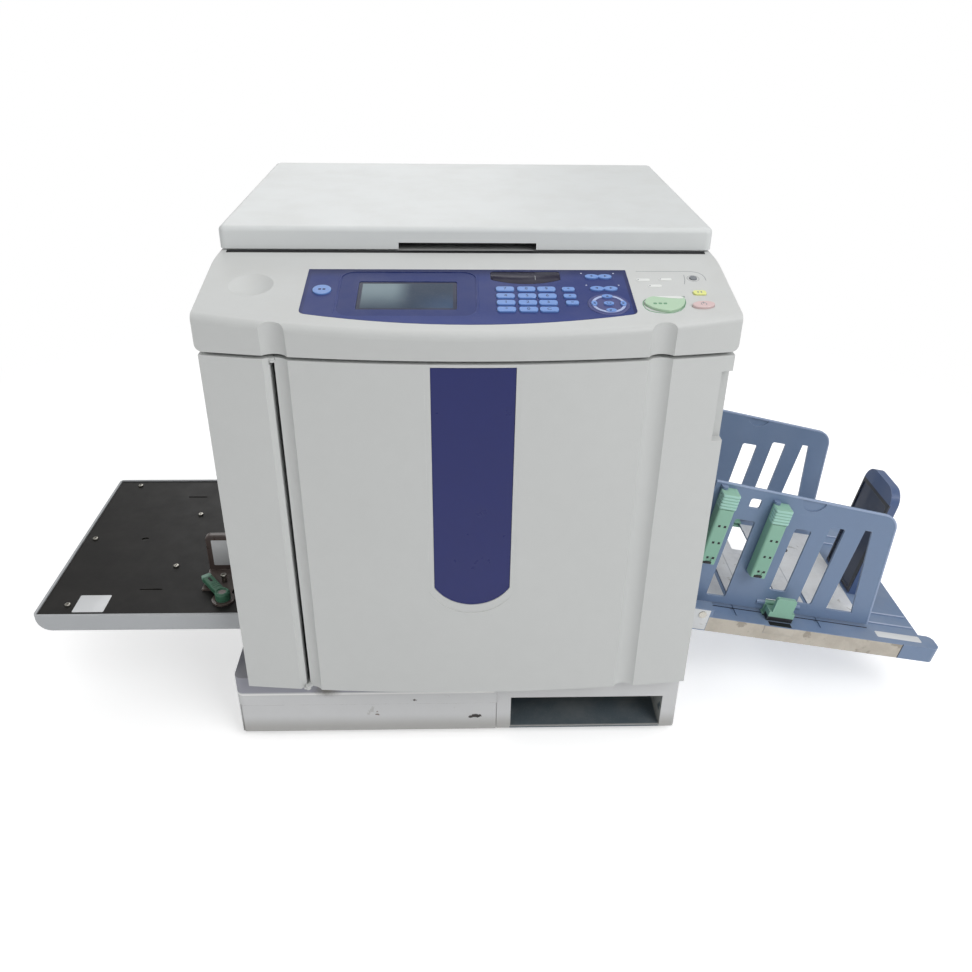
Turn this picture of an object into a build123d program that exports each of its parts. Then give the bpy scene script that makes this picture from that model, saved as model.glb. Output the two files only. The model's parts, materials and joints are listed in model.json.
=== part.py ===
from build123d import *
import os
from math import atan2, cos, degrees, radians, sin

os.makedirs("parts", exist_ok=True)

# Frame: millimetres, +Z up, the front of the machine faces -Y.
# The origin is on the floor, under the middle of the body's width.

# Clearances
run_gap = 0.3       # between faces that slide or seat on each other
fit_gap = 0.05      # radial gap of a shaft in its bore
key_gap = 0.4       # around a key in its hole
wall = 3.0          # moulded cover wall
past = 1.0          # a cut runs past the faces by this much

# Body
body_width = 680.0
body_front = -350.0         # line through the front corners
body_depth = 685.0
base_height = 130.0
cover_height = 551.0        # from the top of the base to the seam under the table
seam_gap = 5.0              # dark gap between the covers and the table
cover_lift = 2.0            # gap between the base and the covers
front_cover_depth = 14.0    # the front covers wrap round the corners by this much
bow_low = 19.0              # how far the front bulges at the bottom of the covers
bow_seam = 34.0             # the same at the seam
bow_high = 49.0             # the same at the front edge of the panel

half_width = body_width / 2
body_back = body_front + body_depth
front_cover_back = body_front + front_cover_depth
cover_bottom = base_height + cover_lift
seam_z = base_height + cover_height
cover_top = seam_z - seam_gap / 2

# Vertical grooves in the front
groove_offset = 243.0
groove_width = 32.0
groove_depth = 8.0

# Table unit with the control panel
console_overhang = 3.0
panel_front_rise = 49.5     # seam to the front corners of the panel
panel_run = 172.0           # front corners to the front of the lid
panel_rise = 33.5
console_skin = 4.5
deck_skin = 8.0
console_corner = 8.0
console_brow = 9.0          # rounding of the panel's front edge
console_bottom = seam_z + seam_gap / 2
console_half = half_width + console_overhang
panel_corner_z = seam_z + panel_front_rise
lid_front = body_front + panel_run
deck_z = panel_corner_z + panel_rise
panel_angle = degrees(atan2(panel_rise, panel_run))
panel_plane = Plane(
    origin=(0, body_front, panel_corner_z),
    x_dir=(1, 0, 0),
    z_dir=(0, -sin(radians(panel_angle)), cos(radians(panel_angle))),
)
panel_length = panel_run / cos(radians(panel_angle))

# Lid
lid_gap = 2.0
lid_thickness = 30.0
lid_depth = 474.0
lid_pin_radius = 4.0
lid_knuckle_radius = 9.0
lid_knuckle_width = 40.0
lid_knuckle_offset = 250.0
lid_post_width = 10.0
lid_post_radius = 8.0
lid_corner = 10.0
lid_edge = 7.0
lid_pocket = 5.0
lid_skin = 4.0
grip_half = 95.0            # hand recess in the lid's front edge
grip_deep = 28.0
grip_rise = 9.0
pad_margin = 8.0            # the pad reaches past the glass
pad_gap = 2.0               # round the pad in its pocket
pad_corner = 8.0
lid_pin_height = 14.0       # hinge pin above the deck
lid_pin_behind = 10.0       # hinge pin behind the lid
lid_bottom = deck_z + lid_gap
lid_back = lid_front + lid_depth
lid_pin_y = lid_back + lid_pin_behind
lid_pin_z = deck_z + lid_pin_height

# Scanner
glass_width = 440.0
glass_depth = 310.0
glass_thickness = 4.0
glass_back = 195.0
glass_ledge = 6.0
carriage_width = 36.0
carriage_depth = 380.0
carriage_height = 18.0
carriage_start = -290.0
carriage_rail_width = 6.0
trough_half = 11.0          # trough of the scan lamp
trough_inset = 30.0
trough_depth = 9.0
lamp_radius = 4.0
lamp_sink = 1.0             # the lamp sits in the trough's floor by this much
glass_front = glass_back - glass_depth
glass_mid_y = (glass_front + glass_back) / 2

# Frame
plate = 4.0                 # thickness of the steel plates
frame_front = -262.0        # outer face of the front frame plate
frame_back = 122.0          # outer face of the rear frame plate
frame_top_gap = 16.0        # top plate below the cover edge
rim_depth = 12.0            # inward rim of the side and rear covers
frame_floor = base_height + run_gap
frame_half = half_width - rim_depth - run_gap
frame_top = cover_top - frame_top_gap
cover_back = body_back - wall - run_gap
frame_rear_end = body_back - rim_depth - run_gap
post_width = 20.0
beam_x = (-120.0, 120.0)
beam_width = 24.0
beam_height = 20.0
access_x = (120.0, 300.0)   # opening in the top plate, over the master roll
access_inset = 20.0
tab_height = 30.0
tab_inset = 60.0
table_rail_width = 20.0
table_pad_width = 40.0
table_rail_height = 8.0     # rib that guides the table
table_rail_y = (-190.0, 260.0)
table_rail_half = 290.0

# Drum and rollers; the paper runs along X, so every shaft runs along Y
paper_mid_y = -72.0
nip_z = 330.0
drum_radius = 90.0
drum_length = 330.0
drum_skin = 2.0
drum_flange = 6.0
drum_shaft_radius = 12.0
drum_hub_radius = 22.0
drum_hub_length = 8.0
press_radius = 30.0
press_length = 306.0
press_shaft_radius = 8.0
drum_door_radius = 96.0     # hole in the front plate that the drum comes out of
drum_cap_radius = 108.0
drum_cap_thickness = 6.0
handle_x = 50.0
handle_reach = 30.0
handle_radius = 7.0
handle_bar_radius = 9.0
bottle_radius = 34.0
bottle_length = 200.0
bottle_edge = 4.0
bottle_neck_radius = 15.0
bottle_neck_length = 14.0
bottle_gap = 1.0            # between the bottle and the shaft
saddle_offset = 60.0
saddle_half = 14.0
saddle_thickness = 10.0
saddle_height = 20.0
master_radius = 36.0
master_length = 320.0
master_shaft_radius = 10.0
master_x = 190.0
master_z = 600.0
feed_roller_radius = 22.0
feed_roller_length = 76.0
feed_shaft_radius = 6.0
feed_roller_x = -285.0
feed_roller_z = 360.0
drum_z = nip_z + drum_radius
bottle_z = drum_z + drum_shaft_radius + bottle_gap + bottle_radius
press_z = nip_z - press_radius - run_gap
shaft_overrun = 4.0
roller_edge = 1.5

# Paper openings in the side covers
feed_opening_low = 180.0
feed_opening_high = 480.0   # the raised tray folds into it with its guide
exit_opening_low = 205.0
exit_opening_high = 440.0
exit_opening_front = -250.0
exit_opening_back = 105.0
opening_corner = 10.0

# Feed tray
tray_outer_x = -677.0
tray_inner_x = -343.0
tray_front = -286.0
tray_back = 146.0
tray_top = 222.0
tray_height = 33.0
tray_rim = 4.0
tray_corner = 8.0
tray_end_round = 24.0
feed_plate_thickness = 2.0
feed_plate_sink = 2.0
# holes in the feed plate: centre and size
feed_plate_holes = (
    ((-511.0, 81.0), (36.0, 4.0)),
    ((-514.0, -216.0), (36.0, 4.0)),
    ((-568.0, -65.0), (12.0, 9.0)),
)
tray_pin_x = -332.0
tray_pin_z = 256.0
tray_pin_radius = 5.0
tray_ear_radius = 10.0
tray_ear_thickness = 6.0
tray_ear_foot = 9.0
tray_hollow_inset = 20.0
lift_post_radius = 8.0
lift_post_x = -215.0
lift_post_inset = 26.0
lift_boss_radius = 14.0
lift_plate_thickness = 6.0
lift_plate_rise = 4.0       # its lower face above the tray's
lift_plate_start = 14.0     # from the fold pin
lift_arm_length = 34.0
lift_arm_rise = 6.0         # top of the arms above the fold pin
lift_boss_below = 6.0
lift_boss_above = 34.0
arm_gap = 2.0               # between the arms and the frame plates
feed_opening_margin = 5.0
feed_opening_front = tray_front - feed_opening_margin
feed_opening_back = tray_back + feed_opening_margin
arm_front = frame_front + plate + arm_gap
arm_back = frame_back - plate - arm_gap

# Upright guide and lever on the feed tray
guide_x = (-431.0, -352.0)
guide_y = (-165.0, -154.0)
guide_height = 70.0
guide_corner = 8.0
guide_edge = 2.0
guide_foot_front = -221.0
lever_seat = 3.0            # thickness of the stub under the lever
lever_seat_margin = 6.0
lever_seat_half = 10.0
lever_hub = (-391.0, -246.0)
lever_hub_radius = 12.0
lever_stem_radius = 6.0
lever_hub_height = 13.0
lever_arm_length = 62.0
lever_arm_width = 16.0
lever_arm_thickness = 9.0
lever_arm_angle = 128.0
lever_corner = 4.0
lever_edge = 2.0

# Receiving tray, in its own sloping frame: along the slope, across, and up from its surface
receive_slope = 10.5
receive_z = 200.3           # height of its surface at the body's side
receive_half = 190.0
receive_length = 441.0
receive_arm_length = 466.0
receive_arm_width = 34.0
receive_depth = 29.0
receive_skin = 3.0
receive_wall = 10.0
receive_end_wall = 8.0
floor_start = 8.0
floor_end = 346.0
floor_half = 135.0
floor_thickness = 1.0
ridge_x = (355.0, 436.0)
ridge_offsets = (110.0, 140.0)
ridge_width = 3.0
ridge_height = 2.0
tray_under = -receive_skin - floor_thickness
receive_plane = Plane(
    origin=(half_width, paper_mid_y, receive_z),
    x_dir=(cos(radians(receive_slope)), 0, -sin(radians(receive_slope))),
    z_dir=(sin(radians(receive_slope)), 0, cos(radians(receive_slope))),
)
cheek_length = 60.0
cheek_rise = 14.0
cheek_width = 22.0

# Fences on the receiving tray
fence_offset = 150.0        # each fence from the middle of the paper, set for the widest sheet
fence_thickness = 4.0
fence_start = 3.0
fence_foot = 4.0
fence_height = 228.0
fence_drop = 13.0           # the top edge falls by this much over its length
fence_low_end = 346.0
fence_high_end = 312.0
fence_corner = 28.0
window_corner = 4.0
# windows: from and to along the slope, from and to in height
far_windows = (((155.0, 183.0), (44.0, 166.0)), ((210.0, 236.0), (26.0, 178.0)))
near_windows = far_windows + (((54.0, 87.0), (17.0, 167.0)), ((67.0, 85.0), (190.0, 207.0)))
end_window = ((264.0, 22.0), (311.0, 22.0), (280.0, 182.0), (268.0, 182.0))
scoop_centre = 168.0
scoop_radius = 21.3
near_scoop_sink = 18.0
far_scoop_sink = 14.0
scoop_lip = 3.0             # left standing along the top edge
near_pivot = 18.0           # height of the fold pin of the near fence
far_pivot = 8.0             # lower, so that the far fence folds under the near one
fence_pin_radius = 2.5
fence_boss_radius = 5.0
fence_boss_length = 14.0
notch_x = (156.0, 204.0)    # gap in the foot of a fence, for its slider
notch_rise = 8.0
slider_slot_start = 158.0
slider_slot_end = 202.0
slider_neck = 20.0
slider_cover = 28.0         # width of the plates above and below the slot
slider_foot = 4.0
slider_flange = 3.0
slider_travel = 100.0
slot_margin = 4.0
slider_slot_near = fence_offset - slider_travel - slider_neck / 2 - slot_margin
slider_slot_far = fence_offset + slider_neck / 2 + 4 * slot_margin
slit_starts = (99.0, 248.0)
slit_width = 8.0
slit_depth = 2.0
latch_x = (158.0, 202.0)
latch_gap = 7.0
latch_depth = 20.0
latch_height = 45.0

# Paper arrangers on the near fence: start along the slope, lower and upper end
arrangers = ((12.0, 91.0, 219.0), (102.0, 79.0, 207.0))
arranger_width = 26.0
arranger_depth = 24.0
arranger_head = 26.0
arranger_step = 1.5
arranger_corner = 4.0
arranger_lug = 4.0
arranger_pin_inset = 5.0
arranger_pin_radius = 2.0

# End stop
stop_start = 350.0
stop_thickness = 16.0
stop_middle = -5.0
stop_width = 106.0
stop_height = 212.0
stop_corner = 28.0
stop_rim = 4.0
stop_field_height = 187.0
stop_neck = (354.0, 366.0)
stop_neck_width = 44.0
stop_foot_width = 62.0
stop_travel = 54.0

# Base
base_left = -369.0
base_right = 343.0
base_front = -330.0
base_back = 325.0
foot_height = 14.0
foot_radius = 24.0
foot_inset = 45.0
foot_chamfer = 2.0
base_lip = 58.0             # height of the top rail of the base
base_skin = 4.0
base_corner = 12.0
base_step = 3.0             # the right part stands back from the front
bay_left = 70.0
bay_right = 317.0
bay_top = 80.0
bay_depth = 420.0
base_panel_right = 47.0
base_panel_depth = 12.0
base_panel_step = 2.0
base_panel_corner = 3.0

# Door and its inlay
door_gap = 6.0
hinge_x = -247.0
hinge_y = -357.0
hinge_pin_radius = 2.5
hinge_ear_radius = 4.0
hinge_ear_height = 3.0
grip_low = 557.0
grip_high = 657.0
grip_width = 15.0
inlay_x = 5.0
inlay_half = 54.0
inlay_frame_side = 7.3
inlay_frame_low = 14.0
inlay_frame_sink = 1.2
inlay_bottom = 302.0
inlay_round = 31.0
inlay_sink = 5.0
inlay_thickness = 2.5
inlay_top_gap = 3.5

# Back of the body
inlet_x = 250.0
inlet_z = 200.0
inlet_width = 28.0
inlet_height = 20.0
inlet_depth = 18.0
inlet_pin_pitch = 7.0
inlet_pin_radius = 1.5
vent_x = (-200.0, 170.0)
vent_z = 560.0
vent_length = 150.0
vent_height = 7.0
vent_pitch = 16.0
vent_count = 8

# Control plate on the panel: x, and distance up the slope
plate_half = 211.0
plate_top = 120.0
plate_side_low = 5.0
plate_mid_low = -22.0
plate_thickness = 2.0
plate_corner = 10.0
screen_x = (-142.0, -15.0)
screen_v = (15.0, 88.0)
bezel_x = (-166.0, 10.0)
bezel_v = (-2.0, 113.0)
bezel_corner = 18.0
bezel_sink = 0.8
screen_corner = 3.0
screen_sink = 0.8           # glass below the bezel
screen_thickness = 3.0
window_x = (29.0, 122.0)
window_v = (80.0, 115.0)
window_bow = 12.0
window_corner_radius = 5.0
window_sink = 0.8

# Keys: they stand above the panel and travel into it
key_rise = 2.2
start_rise = 3.4
stop_rise = 3.0
wake_rise = 1.6
key_flange = 0.5
key_flange_thickness = 1.0
key_flange_gap = 1.0        # flange below the housing, so that rockers can tilt
key_corner = 0.35           # corner radius over a key's smaller size
key_edge = 0.5
digit_columns = (47.0, 74.5, 100.5)
digit_rows = (65.0, 47.0, 30.0, 13.0)
digit_size = (23.7, 11.5)
side_keys = ((129.0, 65.0), (129.5, 47.0), (131.0, 30.0))
side_size = (16.5, 9.5)
mode_centre = (-188.0, 62.0)
mode_radius = 12.0
rocker_centres = ((172.0, 99.5), (175.5, 67.0))
rocker_size = (35.0, 11.0)
rocker_waist = 0.5          # each half reaches past the middle by this much
pad_centre = (177.0, 27.0)
pad_radius = 26.5
pad_ring = (18.0, 21.5)
pad_rise = 0.9
pad_ring_rise = 1.7
pad_cap_rise = 2.6
# caps of the pad: centre, size and turn
pad_caps = (
    ((0.0, 18.5), (14.0, 8.5), 0.0),
    ((-18.5, 0.5), (12.0, 7.5), 90.0),
    ((18.5, 0.0), (12.0, 7.5), 90.0),
    ((1.0, -16.5), (13.0, 8.0), 0.0),
    ((0.0, 0.5), (13.0, 9.0), 0.0),
)
wake_centre = (298.6, 97.6)
wake_radius = 5.0
reset_centre = (299.0, 57.0)
reset_size = (17.0, 10.0)
stop_key_centre = (297.5, 25.0)
stop_key_size = (29.0, 16.0)
stop_key_turn = 8.0
start_centre = (249.0, 26.0)
start_size = (52.0, 36.0)
start_round = 16.0          # its upper left corner
start_belly = 28.0          # its lowest point, from the left
start_tip = 4.0             # its upper right corner
dish_centre = (-281.0, 77.0)
dish_radius = 29.0
dish_depth = 6.5


def finish(part, label):
    # Name a finished piece and write it
    part.label = label
    export_step(part, f"parts/{label}.step")


def block(x, y, z, mode=Mode.ADD):
    # A box given by its two limits along each axis
    with Locations(((x[0] + x[1]) / 2, (y[0] + y[1]) / 2, (z[0] + z[1]) / 2)):
        Box(x[1] - x[0], y[1] - y[0], z[1] - z[0], mode=mode)


def rod_y(x, z, radius, y, mode=Mode.ADD):
    # A cylinder along Y between two limits
    with Locations(Location((x, (y[0] + y[1]) / 2, z), (90, 0, 0))):
        Cylinder(radius, y[1] - y[0], mode=mode)


def rod_x(y, z, radius, x, mode=Mode.ADD):
    # A cylinder along X between two limits
    with Locations(Location(((x[0] + x[1]) / 2, y, z), (0, 90, 0))):
        Cylinder(radius, x[1] - x[0], mode=mode)


def rod_z(x, y, radius, z, mode=Mode.ADD):
    # A cylinder along Z between two limits
    with Locations((x, y, (z[0] + z[1]) / 2)):
        Cylinder(radius, z[1] - z[0], mode=mode)


def bow_at(z):
    # How far the front bulges at a height
    if z < seam_z:
        return bow_low + (bow_seam - bow_low) * (z - base_height) / cover_height
    return bow_seam + (bow_high - bow_seam) * (z - seam_z) / panel_front_rise


def front_at(x, z):
    # Front surface at a place across the width
    return body_front - bow_at(z) * (1 - (x / half_width) ** 2)


def bowed_region(z, half, inset, back):
    # Plan of the body at a height, with a bulging front
    with BuildSketch(Plane.XY.offset(z)) as region:
        with BuildLine():
            front = ThreePointArc(
                (-half + inset, body_front + inset),
                (0, body_front + inset - bow_at(z)),
                (half - inset, body_front + inset),
            )
            Polyline(front @ 1, (half - inset, back), (-half + inset, back), front @ 0)
        make_face()
    return region.sketch


def groove_rod(x, low, high, grow, mode=Mode.ADD):
    # A rod that follows the lean of the front and shapes its vertical channel
    radius = (groove_width**2 / 4 + groove_depth**2) / (2 * groove_depth)
    reach = radius - groove_depth
    foot = Vector(x, front_at(x, low) - reach, low)
    head = Vector(x, front_at(x, high) - reach, high)
    along = (head - foot).normalized()
    with BuildSketch(Plane(origin=foot - along * groove_width, z_dir=along)) as channel:
        Circle(radius + grow)
    extrude(channel.sketch, amount=(head - foot).length + 2 * groove_width, mode=mode)


def front_cover(x_limits, side_walls, pockets=()):
    # A hollow cover behind the bulging front, between two places across the width
    beyond = 2 * half_width
    with BuildPart() as hollow:
        loft(sections=[
            bowed_region(cover_bottom + wall, half_width, wall, front_cover_back + wall),
            bowed_region(cover_top - wall, half_width, wall, front_cover_back + wall),
        ], ruled=True)
        for x in (-groove_offset, groove_offset):
            groove_rod(x, base_height, seam_z, wall, mode=Mode.SUBTRACT)
        block((-beyond, x_limits[0] + side_walls[0]), (2 * body_front, 0), (0, deck_z), mode=Mode.SUBTRACT)
        block((x_limits[1] - side_walls[1], beyond), (2 * body_front, 0), (0, deck_z), mode=Mode.SUBTRACT)
        for pocket_x, pocket_z in pockets:
            block(pocket_x, (2 * body_front, 0), pocket_z, mode=Mode.SUBTRACT)
    with BuildPart() as cover:
        loft(sections=[
            bowed_region(cover_bottom, half_width, 0, front_cover_back),
            bowed_region(cover_top, half_width, 0, front_cover_back),
        ], ruled=True)
        block((-beyond, x_limits[0]), (2 * body_front, 0), (0, deck_z), mode=Mode.SUBTRACT)
        block((x_limits[1], beyond), (2 * body_front, 0), (0, deck_z), mode=Mode.SUBTRACT)
        add(hollow.part, mode=Mode.SUBTRACT)
        for x in (-groove_offset, groove_offset):
            groove_rod(x, base_height, seam_z, 0, mode=Mode.SUBTRACT)
    return cover.part


# Base

def make_base_plinth():
    bay_back = base_front + bay_depth
    with BuildPart() as base_plinth:
        block((base_left, base_right), (base_front, base_back), (foot_height, base_height))
        fillet(base_plinth.edges().filter_by(Axis.Z), base_corner)
        # hollow behind the left panel
        block(
            (base_left + base_skin, base_panel_right - base_skin),
            (base_front + base_panel_depth + base_skin, base_back - base_skin),
            (foot_height + base_skin, base_height - base_skin),
            mode=Mode.SUBTRACT,
        )
        # seat of the left panel
        block(
            (base_left + base_skin, base_panel_right),
            (base_front - past, base_front + base_panel_depth),
            (foot_height - past, base_height - base_lip),
            mode=Mode.SUBTRACT,
        )
        # window from the seat into the hollow
        block(
            (base_left + 2 * base_skin, base_panel_right - 2 * base_skin),
            (base_front, base_front + base_panel_depth + 2 * base_skin),
            (foot_height + 2 * base_skin, base_height - base_lip - base_skin),
            mode=Mode.SUBTRACT,
        )
        # the right part stands back and has the open bay
        block(
            (base_panel_right, base_right + past),
            (base_front - past, base_front + base_step),
            (foot_height - past, base_height + past),
            mode=Mode.SUBTRACT,
        )
        block(
            (bay_left, bay_right),
            (base_front - past, bay_back),
            (foot_height + base_skin, bay_top),
            mode=Mode.SUBTRACT,
        )
    finish(base_plinth.part, "base_plinth")


def make_base_panel():
    with BuildPart() as base_panel:
        block(
            (base_left + base_skin + run_gap, base_panel_right - run_gap),
            (base_front + base_panel_step, base_front + base_panel_depth - run_gap),
            (foot_height, base_height - base_lip - run_gap),
        )
        fillet(base_panel.edges().filter_by(Axis.Z).group_by(Axis.Y)[0], base_panel_corner)
    finish(base_panel.part, "base_panel")


def make_base_feet():
    with BuildPart() as base_feet:
        for x in (base_left + foot_inset, base_right - foot_inset):
            for y in (base_front + foot_inset, base_back - foot_inset):
                rod_z(x, y, foot_radius, (0, foot_height))
        # one more under the middle of the base
        rod_z(0, 0, foot_radius, (0, foot_height))
        chamfer(base_feet.edges().filter_by(GeomType.CIRCLE).group_by(Axis.Z)[0], foot_chamfer)
    finish(base_feet.part, "base_feet")


# Frame and covers

def make_chassis():
    inner_front = frame_front + plate
    inner_back = frame_back - plate
    with BuildPart() as chassis:
        block((-frame_half, frame_half), (front_cover_back + run_gap, frame_rear_end),
              (frame_floor, frame_floor + plate))
        block((-frame_half, frame_half), (frame_front, inner_front), (frame_floor, frame_top))
        block((-frame_half, frame_half), (inner_back, frame_back), (frame_floor, frame_top))
        block((-frame_half, frame_half), (frame_front, frame_rear_end), (frame_top - plate, frame_top))
        for x in (-frame_half + post_width, frame_half - post_width):
            block((x - post_width / 2, x + post_width / 2),
                  (frame_rear_end - post_width, frame_rear_end), (frame_floor, frame_top))
        # opening over the master roll
        block(access_x, (inner_front + access_inset, inner_back - access_inset),
              (frame_top - plate - past, frame_top + past), mode=Mode.SUBTRACT)
        # the drum comes out through the front plate
        rod_y(0, drum_z, drum_door_radius, (frame_front - past, inner_front + past), mode=Mode.SUBTRACT)
        for x, z, radius in (
            (0, drum_z, drum_shaft_radius),
            (0, press_z, press_shaft_radius),
            (master_x, master_z, master_shaft_radius),
            (feed_roller_x, feed_roller_z, feed_shaft_radius),
        ):
            rod_y(x, z, radius + fit_gap, (frame_front - past, frame_back + past), mode=Mode.SUBTRACT)
        # cross-beams that tie the two plates
        for x in beam_x:
            block((x - beam_width / 2, x + beam_width / 2), (inner_front, inner_back),
                  (frame_floor + plate, frame_floor + plate + beam_height))
        # posts that the feed carriage climbs
        for y in (inner_front + lift_post_inset, inner_back - lift_post_inset):
            rod_z(lift_post_x, y, lift_post_radius, (frame_floor + plate, frame_top - plate))
        # rails that carry the table
        for y in table_rail_y:
            block((-table_rail_half, table_rail_half),
                  (y - table_pad_width / 2, y + table_pad_width / 2),
                  (frame_top, console_bottom - run_gap))
            block((-table_rail_half, table_rail_half),
                  (y - table_rail_width / 2, y + table_rail_width / 2),
                  (console_bottom - run_gap, console_bottom + table_rail_height))
        # tabs that the side covers are screwed to
        for side in (-1, 1):
            x_limits = sorted((side * (half_width - wall - run_gap), side * (frame_half - past)))
            for z in (frame_floor + tab_inset, frame_top - tab_inset):
                block(x_limits, (inner_back, frame_back), (z - tab_height / 2, z + tab_height / 2))
    finish(chassis.part, "chassis")


def make_side_cover(label, side, opening_y, opening_z):
    # A flat cover with an inward rim and one paper opening
    outer = side * half_width
    inner = side * (half_width - wall)
    rim = side * (half_width - rim_depth)
    y_limits = (front_cover_back + run_gap, cover_back)
    with BuildPart() as cover:
        block(sorted((outer, rim)), y_limits, (cover_bottom, cover_top))
        block(sorted((inner, rim - side * past)), (y_limits[0] + wall, y_limits[1] - wall),
              (cover_bottom + wall, cover_top - wall), mode=Mode.SUBTRACT)
        with BuildSketch(Plane.YZ.offset(min(outer, inner) - past)):
            with Locations((sum(opening_y) / 2, sum(opening_z) / 2)):
                RectangleRounded(opening_y[1] - opening_y[0], opening_z[1] - opening_z[0], opening_corner)
        extrude(amount=wall + 2 * past, mode=Mode.SUBTRACT)
    finish(cover.part, label)


def make_rear_cover():
    rim_half = half_width - rim_depth - 2 * run_gap
    with BuildPart() as rear_cover:
        block((-half_width, half_width), (body_back - wall, body_back), (cover_bottom, cover_top))
        fillet(rear_cover.edges().filter_by(Axis.Z).group_by(Axis.Y)[-1], wall / 2)
        block((-rim_half, rim_half), (body_back - rim_depth, body_back - wall),
              (cover_bottom, cover_top))
        block((-rim_half + wall, rim_half - wall), (body_back - rim_depth - past, body_back - wall),
              (cover_bottom + wall, cover_top - wall), mode=Mode.SUBTRACT)
        # housing of the mains inlet
        block((inlet_x - inlet_width, inlet_x + inlet_width),
              (body_back - inlet_depth - wall, body_back - past),
              (inlet_z - inlet_height, inlet_z + inlet_height))
        with BuildSketch(Plane.XZ.offset(-body_back)):
            with Locations((inlet_x, inlet_z)):
                RectangleRounded(inlet_width, inlet_height, wall)
        extrude(amount=inlet_depth, mode=Mode.SUBTRACT)
        for x in (-inlet_pin_pitch, 0, inlet_pin_pitch):
            rod_y(inlet_x + x, inlet_z, inlet_pin_radius,
                  (body_back - inlet_depth - past, body_back - inlet_depth / 3))
        # cooling slots
        with BuildSketch(Plane.XZ.offset(-body_back)):
            for x in vent_x:
                with Locations((x, vent_z)):
                    with GridLocations(0, vent_pitch, 1, vent_count):
                        SlotOverall(vent_length, vent_height)
        extrude(amount=wall, mode=Mode.SUBTRACT)
    finish(rear_cover.part, "rear_cover")


def make_left_front_cover():
    right_edge = hinge_x - door_gap / 2
    shell = front_cover((-half_width, right_edge), (0, wall))
    ear_top = cover_top - hinge_ear_height
    ear_step = hinge_ear_height + run_gap
    with BuildPart() as left_front_cover:
        add(shell)
        for low, pin, room in (
            (cover_bottom, (cover_bottom, cover_bottom + 2 * hinge_ear_height),
             (cover_bottom + hinge_ear_height, cover_bottom + hinge_ear_height + 2 * ear_step)),
            (ear_top, (ear_top - ear_step, cover_top), (ear_top - 2 * ear_step, ear_top)),
        ):
            # room for the door's ear, then the lug and the pin that carry it
            rod_z(hinge_x, hinge_y, hinge_ear_radius + 2 * run_gap, room, mode=Mode.SUBTRACT)
            block((right_edge - wall, hinge_x), (hinge_y - hinge_pin_radius, front_cover_back),
                  (low, low + hinge_ear_height))
            rod_z(hinge_x, hinge_y, hinge_ear_radius, (low, low + hinge_ear_height))
            rod_z(hinge_x, hinge_y, hinge_pin_radius, pin)
    finish(left_front_cover.part, "left_front_cover")


# Door

def inlay_outline(half, round_depth, bottom):
    # A strip with a half-oval lower end, in the plane of the door's middle
    with BuildSketch(door_plane) as outline:
        with BuildLine():
            top = inlay_top - cover_bottom
            low = bottom - cover_bottom
            Polyline((inlay_x - half, low + round_depth), (inlay_x - half, top),
                     (inlay_x + half, top), (inlay_x + half, low + round_depth))
            ThreePointArc((inlay_x + half, low + round_depth), (inlay_x, low),
                          (inlay_x - half, low + round_depth))
        make_face()
    return outline.sketch


inlay_top = cover_top - inlay_top_gap
door_lean = degrees(atan2(bow_at(cover_top) - bow_at(cover_bottom), cover_top - cover_bottom))
door_plane = Plane(
    origin=(0, body_front - bow_at(cover_bottom), cover_bottom),
    x_dir=(1, 0, 0),
    z_dir=(0, -cos(radians(door_lean)), -sin(radians(door_lean))),
)


def make_front_door():
    left_edge = hinge_x + door_gap / 2
    grip_x = (half_width - grip_width, 2 * half_width)
    grip_rim = ((grip_x[0] - wall, grip_x[1]), (grip_low - wall, grip_high + wall))
    shell = front_cover((left_edge, half_width), (wall, 0), pockets=[grip_rim])
    frame_outline = inlay_outline(
        inlay_half + inlay_frame_side, inlay_round + inlay_frame_side, inlay_bottom - inlay_frame_low
    )
    sunk_outline = inlay_outline(inlay_half, inlay_round, inlay_bottom)
    low_ear = cover_bottom + hinge_ear_height + run_gap
    high_ear = cover_top - 2 * hinge_ear_height - run_gap
    with BuildPart() as front_door:
        add(shell)
        # thick back of the sunk inlay, its flat frame and its recess
        extrude(frame_outline, amount=-inlay_sink - 2 * wall)
        extrude(frame_outline, amount=-inlay_frame_sink, mode=Mode.SUBTRACT)
        extrude(sunk_outline, amount=-inlay_sink, mode=Mode.SUBTRACT)
        # finger grip at the free edge
        block(grip_x, (2 * body_front, 0), (grip_low, grip_high), mode=Mode.SUBTRACT)
        # ears on the hinge pins, and room for the lugs beside them
        for low, room in (
            (low_ear, (cover_bottom - past, low_ear)),
            (high_ear, (high_ear + hinge_ear_height, cover_top + past)),
        ):
            ear = (low, low + hinge_ear_height)
            block((hinge_x, left_edge + wall), (hinge_y - past, front_cover_back), ear)
            rod_z(hinge_x, hinge_y, hinge_ear_radius, ear)
            rod_z(hinge_x, hinge_y, hinge_pin_radius + fit_gap, ear, mode=Mode.SUBTRACT)
            rod_z(hinge_x, hinge_y, hinge_ear_radius + 2 * run_gap, room, mode=Mode.SUBTRACT)
    finish(front_door.part, "front_door")


def make_door_inlay():
    outline = inlay_outline(inlay_half - run_gap, inlay_round, inlay_bottom + run_gap)
    with BuildPart() as door_inlay:
        extrude(outline, amount=-inlay_sink)
        extrude(outline, amount=-inlay_sink + inlay_thickness, mode=Mode.SUBTRACT)
    finish(door_inlay.part, "door_inlay")


# Table unit

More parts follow.
